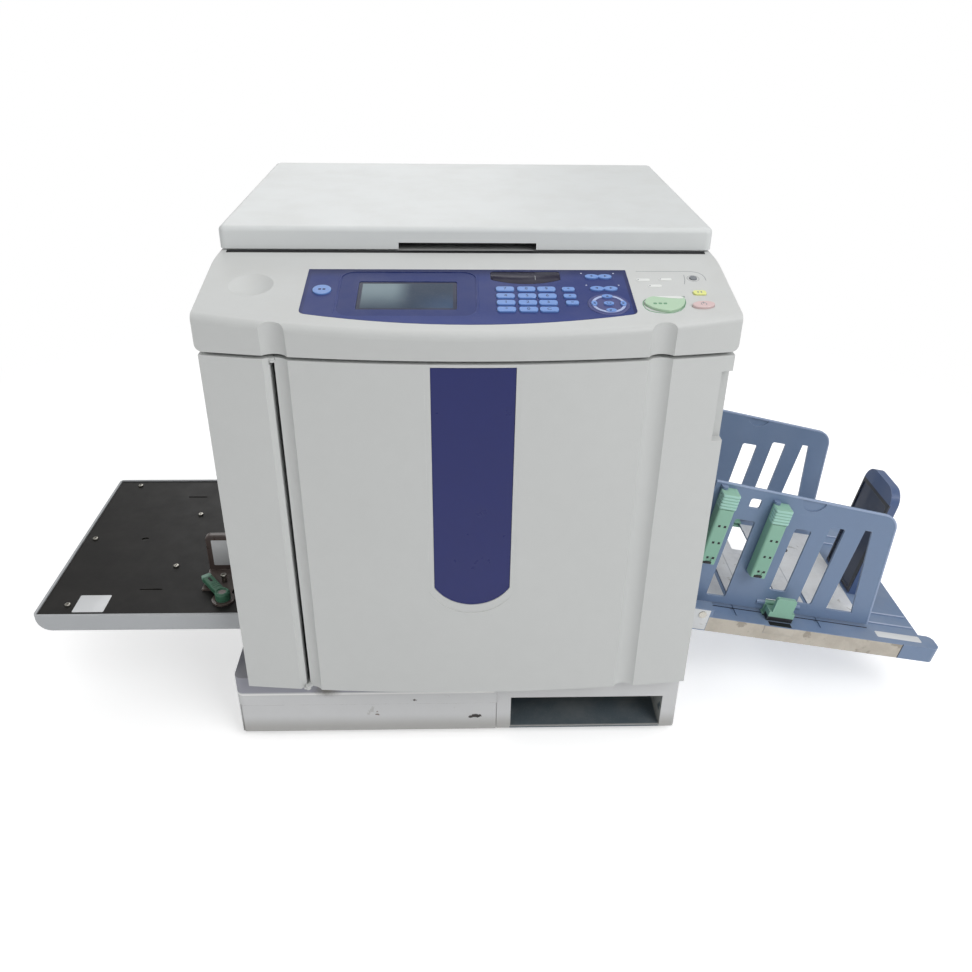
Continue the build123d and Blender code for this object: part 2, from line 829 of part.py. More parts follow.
def console_form(side, floor, slope, deck):
    # The table's outer form, drawn in from its sides, floor, panel and deck
    low = console_bottom + floor
    high = deck_z - deck
    with BuildPart() as form:
        loft(sections=[
            bowed_region(low, console_half, side, body_back - side),
            bowed_region(high, console_half, side, body_back - side),
        ], ruled=True)
        # shave off what stands above the panel
        with BuildSketch(panel_plane.offset(-slope)):
            Rectangle(3 * half_width, 2 * panel_length)
        extrude(amount=panel_length, mode=Mode.SUBTRACT)
    return form.part


def plate_outline(grow, deck):
    # Control plate's outline, seen square to the panel
    with BuildSketch(panel_plane.offset(deck)) as outline:
        with BuildLine():
            low = ThreePointArc(
                (-plate_half - grow, plate_side_low - grow),
                (0, plate_mid_low - grow),
                (plate_half + grow, plate_side_low - grow),
            )
            Polyline(low @ 1, (plate_half + grow, plate_top + grow),
                     (-plate_half - grow, plate_top + grow), low @ 0)
        make_face()
        fillet(outline.vertices().group_by(Axis.Y)[0], plate_corner)
    return outline.sketch


def screen_outline(grow, plane):
    # Outline of the touch screen on a plane, grown all round
    with BuildSketch(plane) as outline:
        with Locations((sum(screen_x) / 2, sum(screen_v) / 2)):
            RectangleRounded(screen_x[1] - screen_x[0] + 2 * grow, screen_v[1] - screen_v[0] + 2 * grow,
                             screen_corner)
    return outline.sketch


def key_shapes(grow, plane):
    # Every key's outline on a plane, by name, grown all round by the same amount
    shapes = {}

    def rounded(name, centre, size):
        with BuildSketch(plane) as shape:
            with Locations(centre):
                RectangleRounded(size[0] + 2 * grow, size[1] + 2 * grow, min(size) * key_corner)
        shapes[name] = shape.sketch

    def disc(name, centre, radius):
        with BuildSketch(plane) as shape:
            with Locations(centre):
                Circle(radius + grow)
        shapes[name] = shape.sketch

    for row, v in enumerate(digit_rows):
        for column, x in enumerate(digit_columns):
            rounded(f"digit_key_{row * len(digit_columns) + column + 1}", (x, v), digit_size)
    for index, centre in enumerate(side_keys):
        rounded(f"side_key_{index + 1}", centre, side_size)
    for index, centre in enumerate(rocker_centres):
        # two lenses that meet in a narrow waist
        half = rocker_size[0] / 4
        with BuildSketch(plane) as shape:
            for offset in (-half, half):
                with Locations((centre[0] + offset, centre[1])):
                    Ellipse(half + rocker_waist + grow, rocker_size[1] / 2 + grow)
        shapes[f"arrow_rocker_{index + 1}"] = shape.sketch
    disc("mode_key", mode_centre, mode_radius)
    disc("position_pad", pad_centre, pad_radius)
    disc("wake_key", wake_centre, wake_radius)
    rounded("reset_key", reset_centre, reset_size)
    with BuildSketch(plane) as shape:
        with Locations(Location((*stop_key_centre, 0), (0, 0, stop_key_turn))):
            Ellipse(stop_key_size[0] / 2 + grow, stop_key_size[1] / 2 + grow)
    shapes["stop_key"] = shape.sketch
    # the start key is round at its left and pointed to the upper right
    with BuildSketch(plane) as shape:
        with BuildLine():
            left = start_centre[0] - start_size[0] / 2 - grow
            right = start_centre[0] + start_size[0] / 2 + grow
            low = start_centre[1] - start_size[1] / 2 - grow
            high = start_centre[1] + start_size[1] / 2 + grow
            middle = start_centre[1]
            JernArc((left + start_round, high), (-1, 0), start_round, 90)
            Line((left, high - start_round), (left, middle))
            ThreePointArc((left, middle), (left + start_belly / 2, low + start_tip),
                          (left + start_belly, low))
            ThreePointArc((left + start_belly, low), (right - start_tip, middle - start_tip), (right, high))
            Line((right, high), (left + start_round, high))
        make_face()
        fillet(shape.vertices().sort_by_distance((right, high))[0], start_tip)
    shapes["start_key"] = shape.sketch
    return shapes


def make_console():
    outer = console_form(0, 0, 0, 0)
    with BuildPart() as hollow:
        add(console_form(console_skin, console_skin, console_skin, deck_skin))
        for x in (-groove_offset, groove_offset):
            groove_rod(x, console_bottom, panel_corner_z, console_skin, mode=Mode.SUBTRACT)
        # the dish keeps a floor under it
        with Locations(panel_plane.location * Location((*dish_centre, 0))):
            Cylinder(dish_radius + console_skin, 2 * (dish_depth + console_skin), mode=Mode.SUBTRACT)
    plate_pocket = plate_outline(run_gap, -plate_thickness)
    with BuildPart() as console_housing:
        add(outer)
        fillet(console_housing.edges().filter_by(GeomType.BEZIER), console_corner)
        brow = [edge for edge in console_housing.edges().filter_by(GeomType.BSPLINE)
                if abs(edge.start_point().Z - edge.end_point().Z) < run_gap]
        fillet(brow, console_brow)
        for x in (-groove_offset, groove_offset):
            groove_rod(x, console_bottom, panel_corner_z, 0, mode=Mode.SUBTRACT)
        add(hollow.part, mode=Mode.SUBTRACT)
        # glass bed with its ledge
        for margin, low in ((run_gap, deck_z - glass_thickness), (-glass_ledge, deck_z - 2 * deck_skin)):
            block((-glass_width / 2 - margin, glass_width / 2 + margin),
                  (glass_front - margin, glass_back + margin), (low, deck_z + past), mode=Mode.SUBTRACT)
        # channels for the rails of the frame
        for y in table_rail_y:
            block((-2 * half_width, 2 * half_width),
                  (y - table_rail_width / 2 - run_gap, y + table_rail_width / 2 + run_gap),
                  (console_bottom - past, console_bottom + table_rail_height + run_gap), mode=Mode.SUBTRACT)
        # ribs that the scan carriage runs on
        for y in (glass_mid_y - carriage_depth / 2, glass_mid_y + carriage_depth / 2 - carriage_rail_width):
            block((carriage_start - carriage_rail_width, console_half - console_skin),
                  (y, y + carriage_rail_width),
                  (console_bottom, deck_z - deck_skin - carriage_height - 2 * run_gap))
        # pocket of the control plate, and the holes of the keys
        extrude(plate_pocket, amount=2 * plate_thickness, mode=Mode.SUBTRACT)
        for hole in key_shapes(key_gap, panel_plane.offset(-2 * console_skin)).values():
            extrude(hole, amount=3 * console_skin, mode=Mode.SUBTRACT)
        extrude(screen_outline(run_gap, panel_plane.offset(-2 * console_skin)), amount=3 * console_skin,
                mode=Mode.SUBTRACT)
        # shallow dish at the left of the panel
        ball = (dish_radius**2 + dish_depth**2) / (2 * dish_depth)
        with Locations(panel_plane.location * Location((*dish_centre, ball - dish_depth))):
            Sphere(ball, mode=Mode.SUBTRACT)
        # hinge posts and pins of the lid
        for side in (-1, 1):
            middle = side * lid_knuckle_offset
            inside = lid_knuckle_width / 2 + run_gap
            for x_limits in (
                (middle - inside - lid_post_width, middle - inside),
                (middle + inside, middle + inside + lid_post_width),
            ):
                block(x_limits, (lid_pin_y - lid_post_radius, lid_pin_y + lid_post_radius),
                      (deck_z - past, lid_pin_z))
                rod_x(lid_pin_y, lid_pin_z, lid_post_radius, x_limits)
            rod_x(lid_pin_y, lid_pin_z, lid_pin_radius, (middle - inside - past, middle + inside + past))
    finish(console_housing.part, "console_housing")


def make_control_plate():
    body = plate_outline(0, -plate_thickness)
    below = panel_plane.offset(-2 * plate_thickness)
    with BuildPart() as control_plate:
        extrude(body, amount=plate_thickness + run_gap)
        # shallow bezel round the screen
        with BuildSketch(panel_plane.offset(run_gap - bezel_sink)):
            with Locations((sum(bezel_x) / 2, sum(bezel_v) / 2)):
                RectangleRounded(bezel_x[1] - bezel_x[0], bezel_v[1] - bezel_v[0], bezel_corner)
        extrude(amount=plate_thickness, mode=Mode.SUBTRACT)
        extrude(screen_outline(0, below), amount=3 * plate_thickness, mode=Mode.SUBTRACT)
        # count window: flat above, curved below
        with BuildSketch(panel_plane.offset(run_gap - window_sink)) as window:
            with BuildLine():
                low = ThreePointArc((window_x[0], window_v[0] + window_bow),
                                    (sum(window_x) / 2, window_v[0]),
                                    (window_x[1], window_v[0] + window_bow))
                Polyline(low @ 1, (window_x[1], window_v[1]), (window_x[0], window_v[1]), low @ 0)
            make_face()
            fillet(window.vertices(), window_corner_radius)
        extrude(amount=plate_thickness, mode=Mode.SUBTRACT)
        for hole in key_shapes(key_gap, below).values():
            extrude(hole, amount=3 * plate_thickness, mode=Mode.SUBTRACT)
    finish(control_plate.part, "control_plate")


def make_touch_screen():
    glass = screen_outline(-run_gap, panel_plane.offset(run_gap - bezel_sink - screen_sink))
    with BuildPart() as touch_screen:
        extrude(glass, amount=-screen_thickness)
    finish(touch_screen.part, "touch_screen")


def raise_pad_caps():
    # The ring and the five pressing points of the position pad
    with BuildSketch(panel_plane) as ring:
        with Locations(pad_centre):
            Circle(pad_ring[1])
            Circle(pad_ring[0], mode=Mode.SUBTRACT)
    extrude(ring.sketch, amount=pad_ring_rise)
    for (x, v), size, turn in pad_caps:
        with BuildSketch(panel_plane) as cap:
            with Locations(Location((pad_centre[0] + x, pad_centre[1] + v, 0), (0, 0, turn))):
                Ellipse(size[0] / 2, size[1] / 2)
        extrude(cap.sketch, amount=pad_cap_rise)


def make_keys():
    # Each key is a cap that stands above the panel, with a flange that holds it inside
    rise = {"position_pad": pad_rise, "start_key": start_rise, "stop_key": stop_rise, "wake_key": wake_rise}
    under = console_skin + key_flange_gap
    caps = key_shapes(0, panel_plane.offset(-under))
    flanges = key_shapes(key_gap + key_flange, panel_plane.offset(-under))
    for name, cap in caps.items():
        height = rise.get(name, key_rise)
        with BuildPart() as key:
            extrude(cap, amount=under + height)
            chamfer(key.faces().sort_by(Axis.Z)[-1].edges(), min(key_edge, height / 2))
            extrude(flanges[name], amount=-key_flange_thickness)
            if name == "position_pad":
                raise_pad_caps()
        finish(key.part, name)


def make_exposure_glass():
    with BuildPart() as exposure_glass:
        block((-glass_width / 2, glass_width / 2), (glass_front, glass_back),
              (deck_z - glass_thickness, deck_z))
    finish(exposure_glass.part, "exposure_glass")


def make_scan_carriage():
    top = deck_z - deck_skin - run_gap
    low = top - carriage_height
    y_limits = (glass_mid_y - carriage_depth / 2, glass_mid_y + carriage_depth / 2)
    middle = carriage_start + carriage_width / 2
    with BuildPart() as scan_carriage:
        block((carriage_start, carriage_start + carriage_width), y_limits, (low, top))
        # trough for the lamp and the slit it looks through
        lamp_y = (y_limits[0] + trough_inset, y_limits[1] - trough_inset)
        block((middle - trough_half, middle + trough_half), lamp_y, (top - trough_depth, top + past),
              mode=Mode.SUBTRACT)
        rod_y(middle, top - trough_depth + lamp_radius - lamp_sink, lamp_radius, lamp_y)
    finish(scan_carriage.part, "scan_carriage")


# Lid

def make_platen_lid():
    with BuildPart() as platen_lid:
        block((-half_width, half_width), (lid_front, lid_back), (lid_bottom, lid_bottom + lid_thickness))
        fillet(platen_lid.edges().filter_by(Axis.Z), lid_corner)
        fillet(platen_lid.edges().group_by(Axis.Z)[-1], lid_edge)
        # recess of the white pad, and the hand recess in the front edge
        block((-glass_width / 2 - pad_margin - pad_gap, glass_width / 2 + pad_margin + pad_gap),
              (glass_front - pad_margin - pad_gap, glass_back + pad_margin + pad_gap),
              (lid_bottom - past, lid_bottom + lid_pocket), mode=Mode.SUBTRACT)
        block((-grip_half, grip_half), (lid_front - past, lid_front + grip_deep),
              (lid_bottom - past, lid_bottom + grip_rise), mode=Mode.SUBTRACT)
        # hollow above the pad, which seats on the rim round it
        block((-glass_width / 2, glass_width / 2), (glass_front, glass_back),
              (lid_bottom, lid_bottom + lid_thickness - lid_skin), mode=Mode.SUBTRACT)
        for side in (-1, 1):
            x_limits = (side * lid_knuckle_offset - lid_knuckle_width / 2,
                        side * lid_knuckle_offset + lid_knuckle_width / 2)
            block(x_limits, (lid_back - past, lid_pin_y), (lid_pin_z - lid_post_radius, lid_pin_z + lid_edge))
            rod_x(lid_pin_y, lid_pin_z, lid_knuckle_radius, x_limits)
            rod_x(lid_pin_y, lid_pin_z, lid_pin_radius + fit_gap, x_limits, mode=Mode.SUBTRACT)
    finish(platen_lid.part, "platen_lid")


def make_platen_pad():
    with BuildPart() as platen_pad:
        block((-glass_width / 2 - pad_margin, glass_width / 2 + pad_margin),
              (glass_front - pad_margin, glass_back + pad_margin),
              (deck_z + run_gap, lid_bottom + lid_pocket))
        fillet(platen_pad.edges().filter_by(Axis.Z), pad_corner)
    finish(platen_pad.part, "platen_pad")


# Drum, rollers and ink

def make_drum_shaft():
    cap_back = frame_front - run_gap
    cap_front = cap_back - drum_cap_thickness
    with BuildPart() as drum_shaft:
        rod_y(0, drum_z, drum_shaft_radius, (cap_front, frame_back + shaft_overrun))
        rod_y(0, drum_z, drum_cap_radius, (cap_front, cap_back))
        for x in (-handle_x, handle_x):
            rod_y(x, drum_z, handle_radius, (cap_front - handle_reach, cap_front))
        rod_x(cap_front - handle_reach, drum_z, handle_bar_radius,
              (-handle_x - 2 * handle_radius, handle_x + 2 * handle_radius))
        # saddles that hold the ink bottle above the shaft
        for y in (paper_mid_y - saddle_offset, paper_mid_y + saddle_offset):
            block((-saddle_half, saddle_half), (y - saddle_thickness / 2, y + saddle_thickness / 2),
                  (drum_z, drum_z + saddle_height))
        rod_y(0, bottle_z, bottle_radius + run_gap,
              (paper_mid_y - bottle_length / 2, paper_mid_y + bottle_length / 2), mode=Mode.SUBTRACT)
    finish(drum_shaft.part, "drum_shaft")


def make_ink_bottle():
    front = paper_mid_y - bottle_length / 2
    with BuildPart() as ink_bottle:
        rod_y(0, bottle_z, bottle_radius, (front, front + bottle_length))
        fillet(ink_bottle.edges().filter_by(GeomType.CIRCLE), bottle_edge)
        rod_y(0, bottle_z, bottle_neck_radius, (front - bottle_neck_length, front))
    finish(ink_bottle.part, "ink_bottle")


def make_print_drum():
    y_limits = (paper_mid_y - drum_length / 2, paper_mid_y + drum_length / 2)
    with BuildPart() as print_drum:
        rod_y(0, drum_z, drum_radius, y_limits)
        rod_y(0, drum_z, drum_radius - drum_skin, (y_limits[0] + drum_flange, y_limits[1] - drum_flange),
              mode=Mode.SUBTRACT)
        for y, away in ((y_limits[0], -1), (y_limits[1], 1)):
            rod_y(0, drum_z, drum_hub_radius, sorted((y, y + away * drum_hub_length)))
        rod_y(0, drum_z, drum_shaft_radius + fit_gap,
              (y_limits[0] - drum_hub_length, y_limits[1] + drum_hub_length), mode=Mode.SUBTRACT)
    finish(print_drum.part, "print_drum")


def make_roller(label, x, z, radius, length, shaft_radius):
    # A plain roller on its own shaft, held by both frame plates
    with BuildPart() as roller:
        rod_y(x, z, radius, (paper_mid_y - length / 2, paper_mid_y + length / 2))
        fillet(roller.edges().filter_by(GeomType.CIRCLE), roller_edge)
        rod_y(x, z, shaft_radius, (frame_front - shaft_overrun, frame_back + shaft_overrun))
    finish(roller.part, label)


# Feed side

def make_feed_carriage():
    inner_front = frame_front + plate
    inner_back = frame_back - plate
    low = tray_top - tray_height + lift_plate_rise
    boss = (low - lift_boss_below, low + lift_boss_above)
    with BuildPart() as feed_carriage:
        block((tray_pin_x + lift_plate_start, lift_post_x + lift_boss_radius), (arm_front, arm_back),
              (low, low + lift_plate_thickness))
        for y in (inner_front + lift_post_inset, inner_back - lift_post_inset):
            rod_z(lift_post_x, y, lift_boss_radius, boss)
        for y_limits, pin in (
            ((arm_front, arm_front + tray_ear_thickness), 1),
            ((arm_back - tray_ear_thickness, arm_back), -1),
        ):
            block((tray_pin_x, tray_pin_x + lift_arm_length), y_limits, (low, tray_pin_z + lift_arm_rise))
            rod_y(tray_pin_x, tray_pin_z, tray_ear_radius, y_limits)
            inner = y_limits[1] if pin > 0 else y_limits[0]
            rod_y(tray_pin_x, tray_pin_z, tray_pin_radius,
                  sorted((inner, inner + pin * (tray_ear_thickness + run_gap))))
        for y in (inner_front + lift_post_inset, inner_back - lift_post_inset):
            rod_z(lift_post_x, y, lift_post_radius + fit_gap, boss, mode=Mode.SUBTRACT)
    finish(feed_carriage.part, "feed_carriage")


def make_feed_tray():
    low = tray_top - tray_height
    under = tray_top - feed_plate_sink - feed_plate_thickness
    ear_front = arm_front + tray_ear_thickness + run_gap
    ear_back = arm_back - tray_ear_thickness - run_gap
    with BuildPart() as feed_tray:
        block((tray_outer_x, tray_inner_x), (tray_front, tray_back), (low, tray_top))
        fillet(feed_tray.faces().sort_by(Axis.Z)[0].edges().sort_by(Axis.X)[0], tray_end_round)
        # both long sides turn in a small radius into the end and the underside
        for side in (feed_tray.faces().sort_by(Axis.Y)[0], feed_tray.faces().sort_by(Axis.Y)[-1]):
            fillet([edge for edge in side.edges()
                    if edge.center().Z < tray_top - past and edge.center().X < tray_inner_x - past], tray_corner)
        # pocket for the plate above, ribs and hollow below
        block((tray_outer_x + tray_rim, tray_inner_x + past),
              (tray_front + tray_rim, tray_back - tray_rim), (under, tray_top + past), mode=Mode.SUBTRACT)
        block((tray_outer_x + tray_hollow_inset, tray_inner_x - tray_hollow_inset / 2),
              (tray_front + tray_hollow_inset, tray_back - tray_hollow_inset),
              (low - past, under - wall), mode=Mode.SUBTRACT)
        # ears on the fold pins
        for y in (ear_front, ear_back - tray_ear_thickness):
            y_limits = (y, y + tray_ear_thickness)
            block((tray_inner_x - tray_ear_foot, tray_pin_x - past), y_limits, (low + wall, tray_pin_z))
            rod_y(tray_pin_x, tray_pin_z, tray_ear_radius, y_limits)
            rod_y(tray_pin_x, tray_pin_z, tray_pin_radius + fit_gap, y_limits, mode=Mode.SUBTRACT)
    finish(feed_tray.part, "feed_tray")


def make_feed_plate():
    top = tray_top - feed_plate_sink
    low = top - feed_plate_thickness
    with BuildPart() as feed_plate:
        block((tray_outer_x + tray_rim + run_gap, tray_inner_x),
              (tray_front + tray_rim + run_gap, tray_back - tray_rim - run_gap), (low, top))
        fillet(feed_plate.edges().filter_by(Axis.Z).group_by(Axis.X)[0], tray_corner - tray_rim)
        # notches beside the ears
        for y in (arm_front + tray_ear_thickness, arm_back - 2 * tray_ear_thickness):
            block((tray_inner_x - tray_ear_foot - past, tray_inner_x + past),
                  (y - past, y + tray_ear_thickness + past), (low - past, top + past), mode=Mode.SUBTRACT)
        with BuildSketch(Plane.XY.offset(low)):
            for centre, size in feed_plate_holes:
                with Locations(centre):
                    SlotOverall(*size)
        extrude(amount=feed_plate_thickness, mode=Mode.SUBTRACT)
    finish(feed_plate.part, "feed_plate")


def make_feed_guide():
    low = tray_top - feed_plate_sink
    with BuildPart() as feed_guide:
        # upright plate, its upper corners rounded
        with BuildSketch(Plane.XZ.offset(-guide_y[1])) as outline:
            with Locations((sum(guide_x) / 2, low + guide_height / 2)):
                Rectangle(guide_x[1] - guide_x[0], guide_height)
            fillet(outline.vertices().group_by(Axis.Y)[-1], guide_corner)
        extrude(amount=guide_y[1] - guide_y[0])
        fillet([edge for edge in feed_guide.faces().filter_by(Axis.Y).edges()
                if edge.center().Z > low + guide_edge], guide_edge)
        # its foot, with the seat and stem that the lever turns on
        seat = (low, low + lever_seat)
        block(guide_x, (guide_foot_front, guide_y[0] + past), seat)
        rod_z(*lever_hub, lever_hub_radius + lever_seat_margin, seat)
        block((lever_hub[0] - lever_seat_half, lever_hub[0] + lever_seat_half),
              (lever_hub[1], guide_foot_front + past), seat)
        rod_z(*lever_hub, lever_stem_radius, (low, low + lever_seat + lever_hub_height))
    finish(feed_guide.part, "feed_guide")


def make_guide_lever():
    low = tray_top - feed_plate_sink + lever_seat + run_gap
    high = low + lever_hub_height
    with BuildPart() as guide_lever:
        rod_z(*lever_hub, lever_hub_radius, (low, high))
        with BuildSketch(Plane.XY.offset(high - lever_arm_thickness)):
            with Locations(Location((*lever_hub, 0), (0, 0, lever_arm_angle))):
                with Locations((lever_arm_length / 2, 0)):
                    RectangleRounded(lever_arm_length, lever_arm_width, lever_corner)
        extrude(amount=lever_arm_thickness)
        fillet(guide_lever.edges().group_by(Axis.Z)[-1], lever_edge)
        rod_z(*lever_hub, lever_stem_radius + fit_gap, (low, high), mode=Mode.SUBTRACT)
    finish(guide_lever.part, "guide_lever")


# Receiving tray; these pieces are drawn flat and then placed on its slope

def finish_on_slope(part, label):
    finish(part.moved(receive_plane.location), label)


def across(side, near, far):
    # Limits across the tray on one side of its middle
    return sorted((side * near, side * far))


def cut_tray_slots(low):
    # Slots of the two sliders and of the end stop, and the narrow guide slits
    for side in (-1, 1):
        block((slider_slot_start, slider_slot_end), across(side, slider_slot_near, slider_slot_far),
              (low, past), mode=Mode.SUBTRACT)
        for start in slit_starts:
            block((start, start + slit_width), across(side, slider_slot_near, slider_slot_far),
                  (-slit_depth, past), mode=Mode.SUBTRACT)
    block((stop_neck[0] - slot_margin / 2, stop_neck[1] + stop_travel + slot_margin / 2),
          (stop_middle - stop_neck_width / 2 - run_gap, stop_middle + stop_neck_width / 2 + run_gap),
          (low, past), mode=Mode.SUBTRACT)


def make_receiving_tray():
    with BuildPart() as receiving_tray:
        block((-receive_wall, receive_length), (-receive_half, receive_half), (-receive_depth, 0))
        # the near rail runs on past the end
        block((receive_length - receive_arm_width, receive_arm_length),
              (-receive_half, receive_arm_width - receive_half), (-receive_depth, 0))
        fillet(receiving_tray.edges().filter_by(Axis.Z).group_by(Axis.X)[-1], receive_arm_width / 3)
        # cheeks beside the body
        for side in (-1, 1):
            block((-receive_wall, cheek_length), across(side, receive_half - cheek_width, receive_half),
                  (-receive_depth, cheek_rise))
        # low ridges towards the end
        for y in ridge_offsets:
            for side in (-1, 1):
                block(ridge_x, (side * y - ridge_width / 2, side * y + ridge_width / 2),
                      (-past, ridge_height))
        # hollow below, pocket of the floor, slots
        block((receive_wall, receive_length - receive_end_wall),
              (receive_wall - receive_half, receive_half - receive_wall),
              (-receive_depth - past, tray_under), mode=Mode.SUBTRACT)
        block((floor_start - run_gap, floor_end + run_gap), (-floor_half - run_gap, floor_half + run_gap),
              (-floor_thickness, floor_thickness), mode=Mode.SUBTRACT)
        cut_tray_slots(-receive_depth / 2)
        # sloping inner end, upright against the side cover
        with Locations(Location((run_gap, 0, 0), (0, -receive_slope, 0))):
            Box(4 * receive_wall, 3 * receive_half, 4 * receive_depth,
                align=(Align.MAX, Align.CENTER, Align.CENTER), mode=Mode.SUBTRACT)
    finish_on_slope(receiving_tray.part, "receiving_tray")


def make_tray_floor():
    with BuildPart() as tray_floor:
        block((floor_start, floor_end), (-floor_half, floor_half), (-floor_thickness, 0))
        cut_tray_slots(-floor_thickness - past)
    finish_on_slope(tray_floor.part, "tray_floor")


fence_slope = degrees(atan2(fence_drop, fence_high_end))


def fence_top_at(s):
    # Height of a fence's sloping top edge
    return fence_height - fence_drop * s / fence_high_end


def fence_form(side, pivot, windows, scoop_sink):
    # An upright plate with windows, on two bosses beside the slider
    middle = side * fence_offset
    with BuildPart() as fence:
        with BuildSketch(Plane.XZ.offset(-middle - fence_thickness / 2)) as outline:
            with BuildLine():
                Polyline((fence_start, fence_foot), (fence_start, fence_height),
                         (fence_high_end, fence_top_at(fence_high_end)), (fence_low_end, fence_foot),
                         close=True)
            make_face()
            fillet(outline.vertices().group_by(Axis.Y)[1], fence_corner)
            for s_limits, h_limits in windows:
                with Locations((sum(s_limits) / 2, sum(h_limits) / 2)):
                    RectangleRounded(s_limits[1] - s_limits[0], h_limits[1] - h_limits[0], window_corner,
                                     mode=Mode.SUBTRACT)
            with BuildLine():
                Polyline(*end_window, close=True)
            make_face(mode=Mode.SUBTRACT)
            with Locations((sum(notch_x) / 2, 0)):
                Rectangle(notch_x[1] - notch_x[0], 2 * (pivot + notch_rise), mode=Mode.SUBTRACT)
        extrude(amount=fence_thickness)
        # thumb scoop, half the plate deep, under a lip at the top edge
        scoop_top = fence_top_at(scoop_centre) - scoop_lip
        with BuildSketch(Plane.XZ.offset(-middle)):
            with Locations((scoop_centre, scoop_top - scoop_sink + scoop_radius)):
                Circle(scoop_radius)
            with Locations(Location((scoop_centre, scoop_top, 0), (0, 0, -fence_slope))):
                Rectangle(4 * scoop_radius, 4 * scoop_radius, align=(Align.CENTER, Align.MIN), mode=Mode.SUBTRACT)
        extrude(amount=fence_thickness, mode=Mode.SUBTRACT)
        for x_limits in (
            (notch_x[0] - fence_boss_length, notch_x[0]),
            (notch_x[1], notch_x[1] + fence_boss_length),
        ):
            rod_x(middle, pivot, fence_boss_radius, x_limits)
            rod_x(middle, pivot, fence_pin_radius + fit_gap, x_limits, mode=Mode.SUBTRACT)
    return fence.part


def make_near_fence():
    form = fence_form(-1, near_pivot, near_windows, near_scoop_sink)
    outer = -fence_offset - fence_thickness / 2
    pin_y = outer - run_gap - arranger_pin_inset
    with BuildPart() as near_fence:
        add(form)
        # lugs and pins of the paper arrangers
        for start, low, high in arrangers:
            pin_x = start + arranger_pin_inset
            for lug_low, pin_z in (
                (low - run_gap - arranger_lug, (low - run_gap, low + arranger_lug)),
                (high + run_gap, (high - arranger_lug, high + run_gap)),
            ):
                lug = (lug_low, lug_low + arranger_lug)
                block((start, start + 2 * arranger_pin_inset), (pin_y, outer + past), lug)
                rod_z(pin_x, pin_y, arranger_pin_inset, lug)
                rod_z(pin_x, pin_y, arranger_pin_radius, pin_z)
    finish_on_slope(near_fence.part, "near_fence")


def make_far_fence():
    finish_on_slope(fence_form(1, far_pivot, far_windows, far_scoop_sink), "far_fence")


def make_arrangers():
    # Blocks on the outer face of the near fence that swing about their left edge
    outer = -fence_offset - fence_thickness / 2 - run_gap
    pin_y = outer - arranger_pin_inset
    for index, (start, low, high) in enumerate(arrangers):
        with BuildPart() as arranger:
            block((start, start + arranger_width), (outer - arranger_depth, outer), (low, high))
            upright = arranger.edges().filter_by(Axis.Z)
            fillet(upright.group_by(Axis.X)[0].sort_by(Axis.Y)[-1:], arranger_pin_inset - run_gap)
            fillet(arranger.edges().filter_by(Axis.Z).group_by(Axis.Y)[0], arranger_corner)
            # step below the head, and the foot slot
            block((start - past, start + arranger_width + past),
                  (outer - arranger_depth - past, outer - arranger_depth + arranger_step),
                  (high - arranger_head - arranger_step, high - arranger_head), mode=Mode.SUBTRACT)
            block((start + arranger_width / 3, start + arranger_width * 2 / 3),
                  (outer - arranger_depth - past, outer - arranger_depth + arranger_step),
                  (low - past, low + arranger_head / 2), mode=Mode.SUBTRACT)
            for z_limits in ((low, low + arranger_lug + run_gap), (high - arranger_lug - run_gap, high)):
                rod_z(start + arranger_pin_inset, pin_y, arranger_pin_radius + fit_gap, z_limits,
                      mode=Mode.SUBTRACT)
        finish_on_slope(arranger.part, f"near_arranger_{index + 1}")


def slider_form(side, pivot):
    # A carriage in its slot, held above and below the tray, with the pin of its fence
    middle = side * fence_offset
    under = tray_under - run_gap
    wide = (slider_slot_start - slider_flange, slider_slot_end + slider_flange)
    cover = (run_gap, run_gap + slider_flange / 2)
    with BuildPart() as slider:
        block((slider_slot_start + run_gap, slider_slot_end - run_gap),
              (middle - slider_neck / 2, middle + slider_neck / 2), (under - past, run_gap + past))
        for z_limits in ((under - slider_foot, under), cover):
            block(wide, (middle - slider_cover / 2, middle + slider_cover / 2), z_limits)
        block((notch_x[0] + run_gap, notch_x[1] - run_gap),
              (middle - fence_boss_radius, middle + fence_boss_radius), (run_gap, pivot))
        rod_x(middle, pivot, fence_boss_radius, (notch_x[0] + run_gap, notch_x[1] - run_gap))
        rod_x(middle, pivot, fence_pin_radius,
              (notch_x[0] - fence_boss_length + past, notch_x[1] + fence_boss_length - past))
    return slider.part


def make_near_slider():
    form = slider_form(-1, near_pivot)
    outer = -fence_offset - latch_gap
    with BuildPart() as near_slider:
        add(form)
        # latch that the hand squeezes
        block(latch_x, (outer - latch_depth, outer), (run_gap, near_pivot))
        block((latch_x[0] + latch_depth / 4, latch_x[1] - latch_depth / 4),
              (outer - latch_depth, outer - latch_depth * 2 / 3), (run_gap, latch_height))
        fillet(near_slider.edges().filter_by(Axis.Y).group_by(Axis.Z)[-1], latch_depth / 5)
        block(latch_x, (outer - past, -fence_offset), (run_gap, run_gap + slider_flange / 2))
    finish_on_slope(near_slider.part, "near_slider")


def make_far_slider():
    finish_on_slope(slider_form(1, far_pivot), "far_slider")


